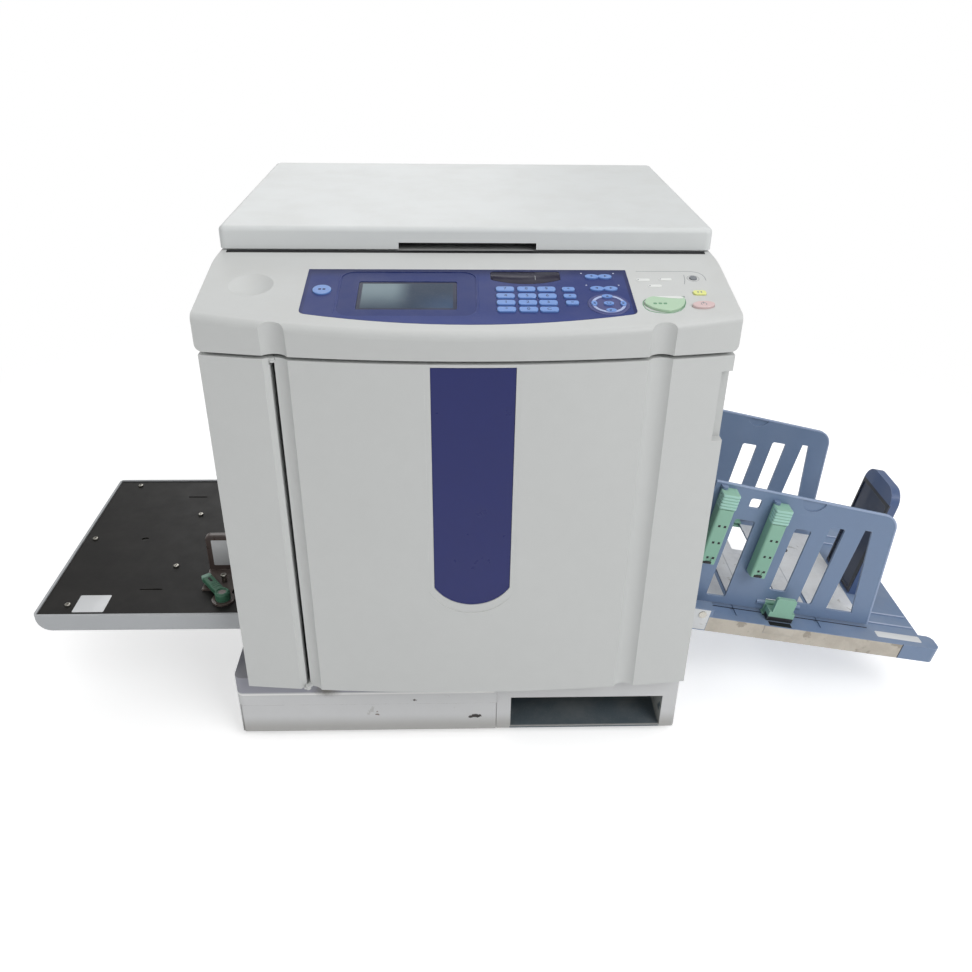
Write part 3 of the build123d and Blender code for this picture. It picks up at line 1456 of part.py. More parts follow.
def make_end_stop():
    under = tray_under - run_gap
    with BuildPart() as end_stop:
        with BuildSketch(Plane.YZ.offset(stop_start)) as outline:
            with Locations((stop_middle, stop_height / 2 + run_gap)):
                Rectangle(stop_width, stop_height)
            fillet(outline.vertices().group_by(Axis.Y)[-1], stop_corner)
        extrude(amount=stop_thickness)
        # shallow field in the inner face
        with BuildSketch(Plane.YZ.offset(stop_start)):
            with Locations((stop_middle + stop_rim / 2, stop_field_height / 2)):
                RectangleRounded(stop_width - 3 * stop_rim, stop_field_height - 4 * stop_rim, stop_rim)
        extrude(amount=stop_rim / 2, mode=Mode.SUBTRACT)
        # neck in the slot and foot below the tray
        block(stop_neck, (stop_middle - stop_neck_width / 2, stop_middle + stop_neck_width / 2),
              (under - past, run_gap + past))
        block((stop_start, stop_start + stop_thickness),
              (stop_middle - stop_foot_width / 2, stop_middle + stop_foot_width / 2),
              (under - slider_foot, under))
    finish_on_slope(end_stop.part, "end_stop")


make_base_plinth()
make_base_panel()
make_base_feet()
make_chassis()
make_side_cover("left_side_cover", -1, (feed_opening_front, feed_opening_back),
                (feed_opening_low, feed_opening_high))
make_side_cover("right_side_cover", 1, (exit_opening_front, exit_opening_back),
                (exit_opening_low, exit_opening_high))
make_rear_cover()
make_left_front_cover()
make_front_door()
make_door_inlay()
make_console()
make_control_plate()
make_touch_screen()
make_keys()
make_exposure_glass()
make_scan_carriage()
make_platen_lid()
make_platen_pad()
make_drum_shaft()
make_ink_bottle()
make_print_drum()
make_roller("pressure_roller", 0, press_z, press_radius, press_length, press_shaft_radius)
make_roller("master_roll", master_x, master_z, master_radius, master_length, master_shaft_radius)
make_roller("feed_roller", feed_roller_x, feed_roller_z, feed_roller_radius, feed_roller_length,
            feed_shaft_radius)
make_feed_carriage()
make_feed_tray()
make_feed_plate()
make_feed_guide()
make_guide_lever()
make_receiving_tray()
make_tray_floor()
make_near_fence()
make_far_fence()
make_arrangers()
make_near_slider()
make_far_slider()
make_end_stop()
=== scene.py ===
import json
from math import atan2, cos, degrees, pi, radians, sin, tan

import bmesh
import bpy
from mathutils import Matrix, Vector


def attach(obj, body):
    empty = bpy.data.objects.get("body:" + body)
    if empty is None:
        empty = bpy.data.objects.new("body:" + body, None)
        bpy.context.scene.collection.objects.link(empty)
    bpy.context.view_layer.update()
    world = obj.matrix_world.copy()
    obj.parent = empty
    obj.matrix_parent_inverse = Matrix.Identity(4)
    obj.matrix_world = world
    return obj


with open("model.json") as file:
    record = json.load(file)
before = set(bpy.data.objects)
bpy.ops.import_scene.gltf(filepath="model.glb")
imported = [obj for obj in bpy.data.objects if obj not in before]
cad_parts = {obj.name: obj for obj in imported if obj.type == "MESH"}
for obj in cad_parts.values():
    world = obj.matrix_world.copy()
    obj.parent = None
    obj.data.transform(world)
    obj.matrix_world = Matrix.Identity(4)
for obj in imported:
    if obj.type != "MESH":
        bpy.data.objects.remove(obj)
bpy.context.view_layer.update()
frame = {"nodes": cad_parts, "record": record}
nodes = frame["nodes"]
slotOf = {entry["node"]: entry["material_slot"] for entry in frame["record"]["subparts"]}

# Two sloping surfaces carry most of the small pieces. Each piece is modelled flat, in millimetres, and
# then laid on its slope.
panelSlope = {"origin": (0, -0.350, 0.7305), "angle": 11.02}      # across, up the slope, out of it
traySlope = {"origin": (0.340, -0.072, 0.2003), "angle": 10.5}    # down the slope, across, out of it
panelPlace = Matrix.Translation(panelSlope["origin"]) @ Matrix.Rotation(radians(panelSlope["angle"]), 4, "X")
trayPlace = Matrix.Translation(traySlope["origin"]) @ Matrix.Rotation(radians(traySlope["angle"]), 4, "Y")
mm = 0.001


# Node helpers

def addNode(tree, kind, inputs=None, **settings):
    made = tree.nodes.new("ShaderNode" + kind)
    for key, value in settings.items():
        setattr(made, key, value)
    for key, value in (inputs or {}).items():
        if isinstance(value, bpy.types.NodeSocket):
            tree.links.new(value, made.inputs[key])
        else:
            made.inputs[key].default_value = value
    return made


def calc(tree, operation, first, second=0.5, third=0.5):
    made = addNode(tree, "Math", {0: first, 1: second, 2: third}, operation=operation)
    return made.outputs[0]


def spread(tree, value, fromLow, fromHigh, toLow=0.0, toHigh=1.0):
    made = addNode(tree, "MapRange", {0: value, 1: fromLow, 2: fromHigh, 3: toLow, 4: toHigh},
                   interpolation_type="SMOOTHSTEP")
    return made.outputs[0]


def band(tree, value, low, high, soft):
    # 1 between two limits, with soft ends
    rise = spread(tree, value, low - soft, low + soft)
    fall = spread(tree, value, high - soft, high + soft, 1.0, 0.0)
    return calc(tree, "MULTIPLY", rise, fall)


def blendColour(tree, factor, first, second):
    made = addNode(tree, "Mix", {0: factor, 6: first, 7: second}, data_type="RGBA")
    return made.outputs[2]


def noise(tree, place, scale, detail=3.0, rough=0.5):
    made = addNode(tree, "TexNoise",
                   {"Vector": place, "Scale": scale, "Detail": detail, "Roughness": rough})
    return made.outputs[0]


def tint(code):
    # A screen colour such as "8A9BC0" as the linear colour that a shader takes
    channels = [int(code[index:index + 2], 16) / 255 for index in (0, 2, 4)]
    return [c / 12.92 if c <= 0.04045 else ((c + 0.055) / 1.055) ** 2.4 for c in channels] + [1.0]


def newEffect(name, takes, gives):
    # A shader node group with named inputs and outputs
    tree = bpy.data.node_groups.new(name, "ShaderNodeTree")
    for label, kind, start in takes:
        socket = tree.interface.new_socket(label, in_out="INPUT", socket_type="NodeSocket" + kind)
        if start is not None:
            socket.default_value = start
    for label, kind in gives:
        tree.interface.new_socket(label, in_out="OUTPUT", socket_type="NodeSocket" + kind)
    return tree, tree.nodes.new("NodeGroupInput").outputs, tree.nodes.new("NodeGroupOutput").inputs


def useEffect(tree, effect, **inputs):
    made = tree.nodes.new("ShaderNodeGroup")
    made.node_tree = effect
    for key, value in inputs.items():
        if isinstance(value, bpy.types.NodeSocket):
            tree.links.new(value, made.inputs[key])
        else:
            made.inputs[key].default_value = value
    return made.outputs


def product(tree, *masks):
    result = masks[0]
    for mask in masks[1:]:
        result = calc(tree, "MULTIPLY", result, mask)
    return result


def layOver(tree, colour, code, *masks):
    # A colour laid over another, where all the masks agree
    return blendColour(tree, product(tree, *masks), colour, tint(code))


def distance(tree, first, second):
    squares = [calc(tree, "MULTIPLY", side, side) for side in (first, second)]
    return calc(tree, "SQRT", calc(tree, "ADD", *squares))


def splitPlace(tree, place):
    return addNode(tree, "SeparateXYZ", {0: place}).outputs


# Effects that several finishes share

def makeGrainEffect():
    tree, takes, gives = newEffect(
        "mouldedGrain",
        [("Place", "Vector", None), ("Colour", "Color", (0.8, 0.8, 0.8, 1)),
         ("Shift", "Float", 0.05), ("GrainScale", "Float", 900.0),
         ("Roughness", "Float", 0.5), ("RoughShift", "Float", 0.1)],
        [("Colour", "Color"), ("Roughness", "Float"), ("Height", "Float")])
    wide = noise(tree, takes["Place"], 4.5, 3.0)
    near = noise(tree, takes["Place"], 38.0, 5.0, 0.6)
    fine = noise(tree, takes["Place"], takes["GrainScale"], 2.0)
    both = calc(tree, "ADD", wide, near)
    shade = calc(tree, "MULTIPLY_ADD", calc(tree, "SUBTRACT", both, 1.0), takes["Shift"], 1.0)
    shaded = addNode(tree, "VectorMath", {0: takes["Colour"], "Scale": shade}, operation="SCALE")
    tree.links.new(shaded.outputs[0], gives["Colour"])
    around = calc(tree, "SUBTRACT", near, 0.5)
    rough = calc(tree, "MULTIPLY_ADD", around, takes["RoughShift"], takes["Roughness"])
    tree.links.new(rough, gives["Roughness"])
    tree.links.new(fine, gives["Height"])
    return tree


def makeWearEffect():
    # A mask along rubbed edges, broken up in patches
    tree, takes, gives = newEffect(
        "rubbedEdges",
        [("Place", "Vector", None), ("Reach", "Float", 0.002),
         ("Amount", "Float", 0.5), ("PatchScale", "Float", 30.0)],
        [("Mask", "Float")])
    rounded = addNode(tree, "Bevel", {"Radius": takes["Reach"]}, samples=3)
    surface = tree.nodes.new("ShaderNodeNewGeometry")
    facing = addNode(tree, "VectorMath", {0: rounded.outputs[0], 1: surface.outputs["Normal"]},
                     operation="DOT_PRODUCT")
    edge = spread(tree, facing.outputs["Value"], 0.99, 0.86)
    patches = spread(tree, noise(tree, takes["Place"], takes["PatchScale"], 5.0, 0.65), 0.38, 0.62)
    worn = calc(tree, "MULTIPLY", calc(tree, "MULTIPLY", edge, patches), takes["Amount"])
    tree.links.new(worn, gives["Mask"])
    return tree


def makeDustEffect():
    # A mask of dust on what faces up
    tree, takes, gives = newEffect(
        "settledDust",
        [("Place", "Vector", None), ("Facing", "Vector", None),
         ("Amount", "Float", 0.3)],
        [("Mask", "Float")])
    up = addNode(tree, "SeparateXYZ", {0: takes["Facing"]}).outputs[2]
    clouds = spread(tree, noise(tree, takes["Place"], 14.0, 6.0, 0.62), 0.36, 0.7)
    specks = spread(tree, noise(tree, takes["Place"], 520.0, 2.0), 0.6, 0.72)
    cover = calc(tree, "MAXIMUM", clouds, specks)
    mask = calc(tree, "MULTIPLY", calc(tree, "MULTIPLY", cover, spread(tree, up, 0.4, 0.95)), takes["Amount"])
    tree.links.new(mask, gives["Mask"])
    return tree


def makeScratchEffect():
    # A mask of fine hairline scratches in two directions
    tree, takes, gives = newEffect(
        "hairScratches",
        [("Place", "Vector", None), ("Density", "Float", 60.0),
         ("Amount", "Float", 0.5)],
        [("Mask", "Float")])
    layers = []
    for turn, stretch in ((0.5, (1.0, 0.03, 0.6)), (-0.9, (0.04, 1.0, 0.5))):
        turned = addNode(tree, "Mapping", {"Vector": takes["Place"], "Rotation": (0.3, turn, turn),
                                                     "Scale": stretch})
        layers.append(spread(tree, noise(tree, turned.outputs[0], takes["Density"], 6.0, 0.75), 0.66, 0.74))
    both = calc(tree, "MAXIMUM", layers[0], layers[1])
    tree.links.new(calc(tree, "MULTIPLY", both, takes["Amount"]), gives["Mask"])
    return tree


def makeStainEffect():
    # A mask of ragged blotches, such as chips or dirt
    tree, takes, gives = newEffect(
        "raggedStains",
        [("Place", "Vector", None), ("Size", "Float", 12.0),
         ("Spread", "Float", 0.35)],
        [("Mask", "Float")])
    bent = addNode(tree, "TexNoise", {"Vector": takes["Place"], "Scale": 40.0, "Detail": 4.0})
    shifted = addNode(tree, "VectorMath", {0: bent.outputs[1], 1: (0.02, 0.02, 0.02), 2: takes["Place"]},
                      operation="MULTIPLY_ADD")
    cells = noise(tree, shifted.outputs[0], takes["Size"], 6.0, 0.6)
    level = calc(tree, "SUBTRACT", 1.0, takes["Spread"])
    tree.links.new(spread(tree, cells, level, calc(tree, "ADD", level, 0.03)), gives["Mask"])
    return tree


effects = {"grain": makeGrainEffect(), "wear": makeWearEffect(), "dust": makeDustEffect(),
           "scratch": makeScratchEffect(), "stain": makeStainEffect()}
print("effects ready")


# Finishes

def slopeCoords(tree, place, slope, axis):
    # Turns object coordinates into those of a sloping surface
    turn = Matrix.Rotation(-radians(slope["angle"]), 3, axis)
    start = -(turn @ Vector(slope["origin"]))
    angles = [0, 0, 0]
    angles["XYZ".index(axis)] = -radians(slope["angle"])
    mapped = addNode(tree, "Mapping", {"Vector": place, "Location": start, "Rotation": angles})
    return addNode(tree, "SeparateXYZ", {0: mapped.outputs[0]}).outputs


def makeFinish(name, look):
    # look: colour, rough, shift, grain (bumps per metre), bump (depth in mm), edge (colour, amount),
    # reach (mm), stain (colour, size, spread, amount), dust, scratch, metal, coat, paint
    material = bpy.data.materials.new(name)
    material.use_nodes = True
    tree = material.node_tree
    shader = tree.nodes["Principled BSDF"]
    texture = tree.nodes.new("ShaderNodeTexCoord")
    place = texture.outputs["Object"]
    colour = tint(look["colour"])
    if "paint" in look:
        colour = look["paint"](tree, place, colour)
    grain = useEffect(tree, effects["grain"], Place=place, Colour=colour, Shift=look.get("shift", 0.06),
                      GrainScale=look.get("grain", 900.0), Roughness=look["rough"],
                      RoughShift=look.get("roughShift", 0.25))
    colour = grain["Colour"]
    rough = grain["Roughness"]
    if "edge" in look:
        worn = useEffect(tree, effects["wear"], Place=place, Reach=look.get("reach", 1.6) * mm,
                         Amount=look["edge"][1], PatchScale=look.get("patches", 32.0))["Mask"]
        colour = blendColour(tree, worn, colour, tint(look["edge"][0]))
    if "scratch" in look:
        hair = useEffect(tree, effects["scratch"], Place=place, Density=look.get("hairs", 55.0),
                         Amount=look["scratch"])["Mask"]
        colour = layOver(tree, colour, look.get("hair", "F2F2F0"), hair, 0.35)
        rough = calc(tree, "MULTIPLY_ADD", hair, 0.25, rough)
    if "stain" in look:
        code, size, reach, amount = look["stain"]
        dirt = useEffect(tree, effects["stain"], Place=place, Size=size, Spread=reach)["Mask"]
        colour = layOver(tree, colour, code, dirt, amount)
    if "dust" in look:
        dusty = useEffect(tree, effects["dust"], Place=place, Facing=texture.outputs["Normal"],
                          Amount=look["dust"])["Mask"]
        colour = blendColour(tree, dusty, colour, tint(look.get("dustColour", "B9B6AE")))
        rough = calc(tree, "MULTIPLY_ADD", dusty, 0.3, rough)
    bump = addNode(tree, "Bump", {"Strength": 0.6, "Distance": look.get("bump", 0.05) * mm,
                                            "Height": grain["Height"]})
    tree.links.new(colour, shader.inputs["Base Color"])
    tree.links.new(rough, shader.inputs["Roughness"])
    tree.links.new(bump.outputs[0], shader.inputs["Normal"])
    shader.inputs["Metallic"].default_value = look.get("metal", 0.0)
    shader.inputs["Coat Weight"].default_value = look.get("coat", 0.0)
    shader.inputs["Coat Roughness"].default_value = 0.08
    shader.inputs["Specular IOR Level"].default_value = look.get("specular", 0.5)
    material.diffuse_color = tint(look["colour"])
    return material


# Marks are in metres. Two values are where a mask starts and is full, three a band and its softness, and
# four add the mask's two levels to its start and end.

plateMarks = {"front": (0.02, -0.024, 0.0, 0.3), "back": (0.095, 0.120, 0.0, 0.7), "bevelShade": (0.2055, 0.2075),
              "leftBevelShade": 0.6, "wellShade": (-0.165, 0.009, 0.001), "wellDepth": (-0.003, -0.0001, 0.0001)}


def paintPlate(tree, place, colour):
    # The control plate: darker along the top as painted shade, a bevel stripe of painted shade at each end,
    # paler towards the front as painted light, and painted shade in the sunken well
    x, v, n = slopeCoords(tree, place, panelSlope, "X")
    # painted light towards the front, painted shade along the top
    colour = layOver(tree, colour, "3F4F94", spread(tree, v, *plateMarks["front"]))
    colour = layOver(tree, colour, "1A2044", spread(tree, v, *plateMarks["back"]))
    # painted shade on the bevel at each end
    start, full = plateMarks["bevelShade"]
    bevelShade = calc(tree, "MAXIMUM", spread(tree, x, start, full),
                  spread(tree, x, -start, -full, 0.0, plateMarks["leftBevelShade"]))
    colour = layOver(tree, colour, "232B5C", bevelShade)
    # painted shade in the sunken well
    return layOver(tree, colour, "26336A", band(tree, x, *plateMarks["wellShade"]),
                   band(tree, n, *plateMarks["wellDepth"]), 0.6)


screenMarks = {"reflectionPatch": ((-0.070, -0.100), (0.005, 0.075)), "glow": ((-0.085, -0.02), (0.07, 0.02)),
               "face": ((-0.137, -0.020, 0.0008), (0.020, 0.083, 0.0008))}


def paintScreen(tree, place, colour):
    # A dim liquid crystal face: a soft light patch as a painted reflection, a bluer right side as a painted
    # glow, and a dark border
    x, v, n = slopeCoords(tree, place, panelSlope, "X")
    # a painted reflection as a soft light patch, and a painted glow
    for name, code, amount in (("reflectionPatch", "7C9098", 0.9), ("glow", "30527C", 0.5)):
        across, up = screenMarks[name]
        colour = layOver(tree, colour, code, spread(tree, x, *across), spread(tree, v, *up), amount)
    across, up = screenMarks["face"]
    face = product(tree, band(tree, x, *across), band(tree, v, *up))
    return layOver(tree, colour, "2A3148", calc(tree, "SUBTRACT", 1.0, face))


padMarks = {"centre": (0.177, 0.027), "ring": (0.0176, 0.0219, 0.0002), "ringTop": (0.00178, 0.00172),
            "raised": (0.00096, 0.00112)}


def paintPad(tree, place, colour):
    # Plate blue between, a light ring, key blue on the pressing points
    x, v, n = slopeCoords(tree, place, panelSlope, "X")
    middleX, middleV = padMarks["centre"]
    away = distance(tree, calc(tree, "SUBTRACT", x, middleX), calc(tree, "SUBTRACT", v, middleV))
    raised = spread(tree, n, *padMarks["raised"])
    ring = product(tree, band(tree, away, *padMarks["ring"]), spread(tree, n, *padMarks["ringTop"]))
    colour = blendColour(tree, raised, tint("3F457C"), colour)
    return layOver(tree, colour, "A9B6DC", ring, raised)


trayMarks = {"nearFace": (-0.1890, -0.1896), "strip": (0.056, 0.398, 0.0006), "stripTop": (-0.0008, -0.0016),
             "joint": (0.3975, 0.3995, 0.0003), "ridgeHighlightFoot": (0.0006, 0.0016),
             "ridges": (0.352, 0.440, 0.001)}


def paintTray(tree, place, colour):
    # Blue-grey tray with a soiled beige strip along its near face, and pale ridges at its end from a painted
    # highlight
    s, y, h = slopeCoords(tree, place, traySlope, "Y")
    nearFace = spread(tree, y, *trayMarks["nearFace"])
    strip = product(tree, nearFace, band(tree, s, *trayMarks["strip"]),
                    spread(tree, h, *trayMarks["stripTop"]))
    soil = useEffect(tree, effects["stain"], Place=place, Size=16.0, Spread=0.45)["Mask"]
    cloudy = spread(tree, noise(tree, place, 24.0, 6.0, 0.7), 0.4, 0.62, 0.0, 0.45)
    cracks = useEffect(tree, effects["scratch"], Place=place, Density=34.0, Amount=0.8)["Mask"]
    beige = layOver(tree, tint("C4BDB1"), "A79F93", cloudy)
    beige = layOver(tree, beige, "857C70", soil, 0.6)
    beige = layOver(tree, beige, "6E675E", cracks)
    # painted highlight on the raised ridges at the tray's end
    colour = layOver(tree, colour, "B4C0D8", spread(tree, h, *trayMarks["ridgeHighlightFoot"]),
                     band(tree, s, *trayMarks["ridges"]), 0.8)
    colour = blendColour(tree, strip, colour, beige)
    return layOver(tree, colour, "2E3340", band(tree, s, *trayMarks["joint"]), nearFace)


floorMarks = {"joints": ((0.132, 0.134, 0.0004), (0.238, 0.240, 0.0004))}


def paintFloor(tree, place, colour):
    # Pale floor with grey panels and scuffs
    s, y, h = slopeCoords(tree, place, traySlope, "Y")
    cloudy = spread(tree, noise(tree, place, 9.0, 6.0, 0.7), 0.42, 0.66)
    colour = layOver(tree, colour, "A8ACB4", cloudy, 0.35)
    joints = calc(tree, "MAXIMUM", *(band(tree, s, *joint) for joint in floorMarks["joints"]))
    return layOver(tree, colour, "8A8F99", joints, 0.5)


stopMarks = {"innerFace": (0.3524, 0.3518), "field": (0.003, 0.186, 0.0005)}


def paintStop(tree, place, colour):
    # Blue outside, nearly black in the field of the inner face
    s, y, h = slopeCoords(tree, place, traySlope, "Y")
    return layOver(tree, colour, "171A24", spread(tree, s, *stopMarks["innerFace"]),
                   band(tree, h, *stopMarks["field"]))


baseMarks = {
    "bay": (0.0688, 0.3182, 0.0165, 0.0815), "baySoft": 0.0004, "bayColour": "58636A",
    "bayDepth": (-0.3262, -0.3235), "railTop": 0.0012, "wall": (0.003, 0.002),
    "darkerBelow": (0.05, 0.02), "leftHalf": (0.045, 0.040), "front": (-0.31, -0.32),
    "shadeFrom": (0.0965, 0.100), "shade": "8E8F9B", "bead": (0.0935, 0.0962, 0.0005),
    # place across and up, size, softness, squeeze across, colour
    "spots": (
        (0.0135, 0.0425, 0.0075, 0.0008, 0.5, "241E1C"), (0.0050, 0.0405, 0.0060, 0.0006, 0.6, "2E2624"),
        (-0.147, 0.0480, 0.0050, 0.001, 0.6, "7A6C66"), (-0.147, 0.0540, 0.0045, 0.001, 0.6, "8A7C76"),
        (-0.085, 0.0800, 0.0050, 0.001, 0.4, "4B4542"), (-0.224, 0.1030, 0.004, 0.018, 0.6, "6E6C66")),
}


def paintBase(tree, place, colour):
    # Painted steel with chips and rusty stains, darker towards the bottom, with painted shade in the open bay
    # and under the door and a painted highlight along the panel's upper edge
    x, y, z = splitPlace(tree, place)
    soil = useEffect(tree, effects["stain"], Place=place, Size=22.0, Spread=0.36)["Mask"]
    # darker towards the bottom, in the same colour as the soil
    darkerBelow = product(tree, spread(tree, z, *baseMarks["darkerBelow"]), 0.5)
    colour = layOver(tree, colour, "8B8880", calc(tree, "MAXIMUM", product(tree, soil, 0.3), darkerBelow))
    # painted shade: the inside of the open bay is coloured dark
    left, right, low, high = baseMarks["bay"]
    soft = baseMarks["baySoft"]
    within = band(tree, x, left, right, soft)
    bay = product(tree, within, band(tree, z, low, high, soft), spread(tree, y, *baseMarks["bayDepth"]))
    # the rail below the bay lies in the same shade
    rail = product(tree, within, spread(tree, z, low + baseMarks["railTop"], low))
    bay = calc(tree, "MAXIMUM", bay, rail)
    colour = layOver(tree, colour, baseMarks["bayColour"], bay)
    # the bay's right wall catches the light in streaks
    streaks = band(tree, noise(tree, place, 26.0, 2.0), 0.40, 0.62, 0.02)
    start, full = (right - inset for inset in baseMarks["wall"])
    colour = layOver(tree, colour, "B4B6B2", bay, spread(tree, x, start, full), streaks, 0.8)
    # painted shade under the door, down to a painted highlight along the panel's upper edge
    leftHalf = spread(tree, x, *baseMarks["leftHalf"])
    shade = product(tree, spread(tree, z, *baseMarks["shadeFrom"]), leftHalf, 0.9)
    colour = layOver(tree, colour, baseMarks["shade"], shade)
    # painted highlight: a pale line along the panel's upper edge
    colour = layOver(tree, colour, "F2F2F1", band(tree, z, *baseMarks["bead"]), leftHalf)
    for spotX, spotZ, size, softness, squeeze, code in baseMarks["spots"]:
        across = product(tree, calc(tree, "SUBTRACT", x, spotX), squeeze)
        away = distance(tree, across, calc(tree, "SUBTRACT", z, spotZ))
        ragged = calc(tree, "MULTIPLY_ADD", noise(tree, place, 210.0, 4.0, 0.7), 0.008, away)
        colour = layOver(tree, colour, code, spread(tree, ragged, size + softness, size),
                         spread(tree, y, *baseMarks["front"]))
    return colour


lidMarks = {"across": (-0.0975, 0.0975, 0.0004), "below": (0.7762, 0.7752), "deep": (-0.1778, -0.146, 0.0001)}


def paintLid(tree, place, colour):
    # The grip notch under the front edge is in deep shade
    x, y, z = splitPlace(tree, place)
    return layOver(tree, colour, "1C2022", band(tree, x, *lidMarks["across"]),
                   spread(tree, z, *lidMarks["below"]), band(tree, y, *lidMarks["deep"]))


feedMarks = {"across": (-0.6735, -0.3300, 0.0004), "deep": (-0.2825, 0.1425, 0.0004),
             "up": (0.2150, 0.2195, 0.0003)}


def paintFeedShade(tree, place, colour):
    # Painted shade: black inside the tray, where the plate's holes let the eye through
    x, y, z = splitPlace(tree, place)
    return layOver(tree, colour, "0E0E0E", band(tree, x, *feedMarks["across"]),
                   band(tree, y, *feedMarks["deep"]), band(tree, z, *feedMarks["up"]))


drumMarks = {"axisHeight": 0.420, "lanes": 180.0, "rows": 2000.0, "holes": (0.2, 0.5)}


def paintDrum(tree, place, colour):
    # A fine screen over the drum, with ink in its holes
    x, y, z = splitPlace(tree, place)
    around = calc(tree, "ARCTAN2", x, calc(tree, "SUBTRACT", z, drumMarks["axisHeight"]))
    lanes = calc(tree, "SINE", calc(tree, "MULTIPLY", around, drumMarks["lanes"]))
    rows = calc(tree, "SINE", calc(tree, "MULTIPLY", y, drumMarks["rows"]))
    holes = spread(tree, calc(tree, "MULTIPLY", lanes, rows), *drumMarks["holes"])
    colour = layOver(tree, colour, "15161C", holes, 0.8)
    inked = spread(tree, noise(tree, place, 7.0, 5.0, 0.6), 0.4, 0.6)
    return layOver(tree, colour, "20222C", inked, 0.5)


arrangerMarks = {"paler": (0.10, 0.22, 0.0, 0.25), "footTop": (0.0095, 0.0080),
                 "footFront": (-0.1600, -0.1640)}


def paintArranger(tree, place, colour):
    # A little paler towards the top
    s, y, h = slopeCoords(tree, place, traySlope, "Y")
    colour = layOver(tree, colour, "A9D3BE", spread(tree, h, *arrangerMarks["paler"]))
    # the sliders' feet are near black
    return layOver(tree, colour, "22232A", spread(tree, h, *arrangerMarks["footTop"]),
                   spread(tree, y, *arrangerMarks["footFront"]))


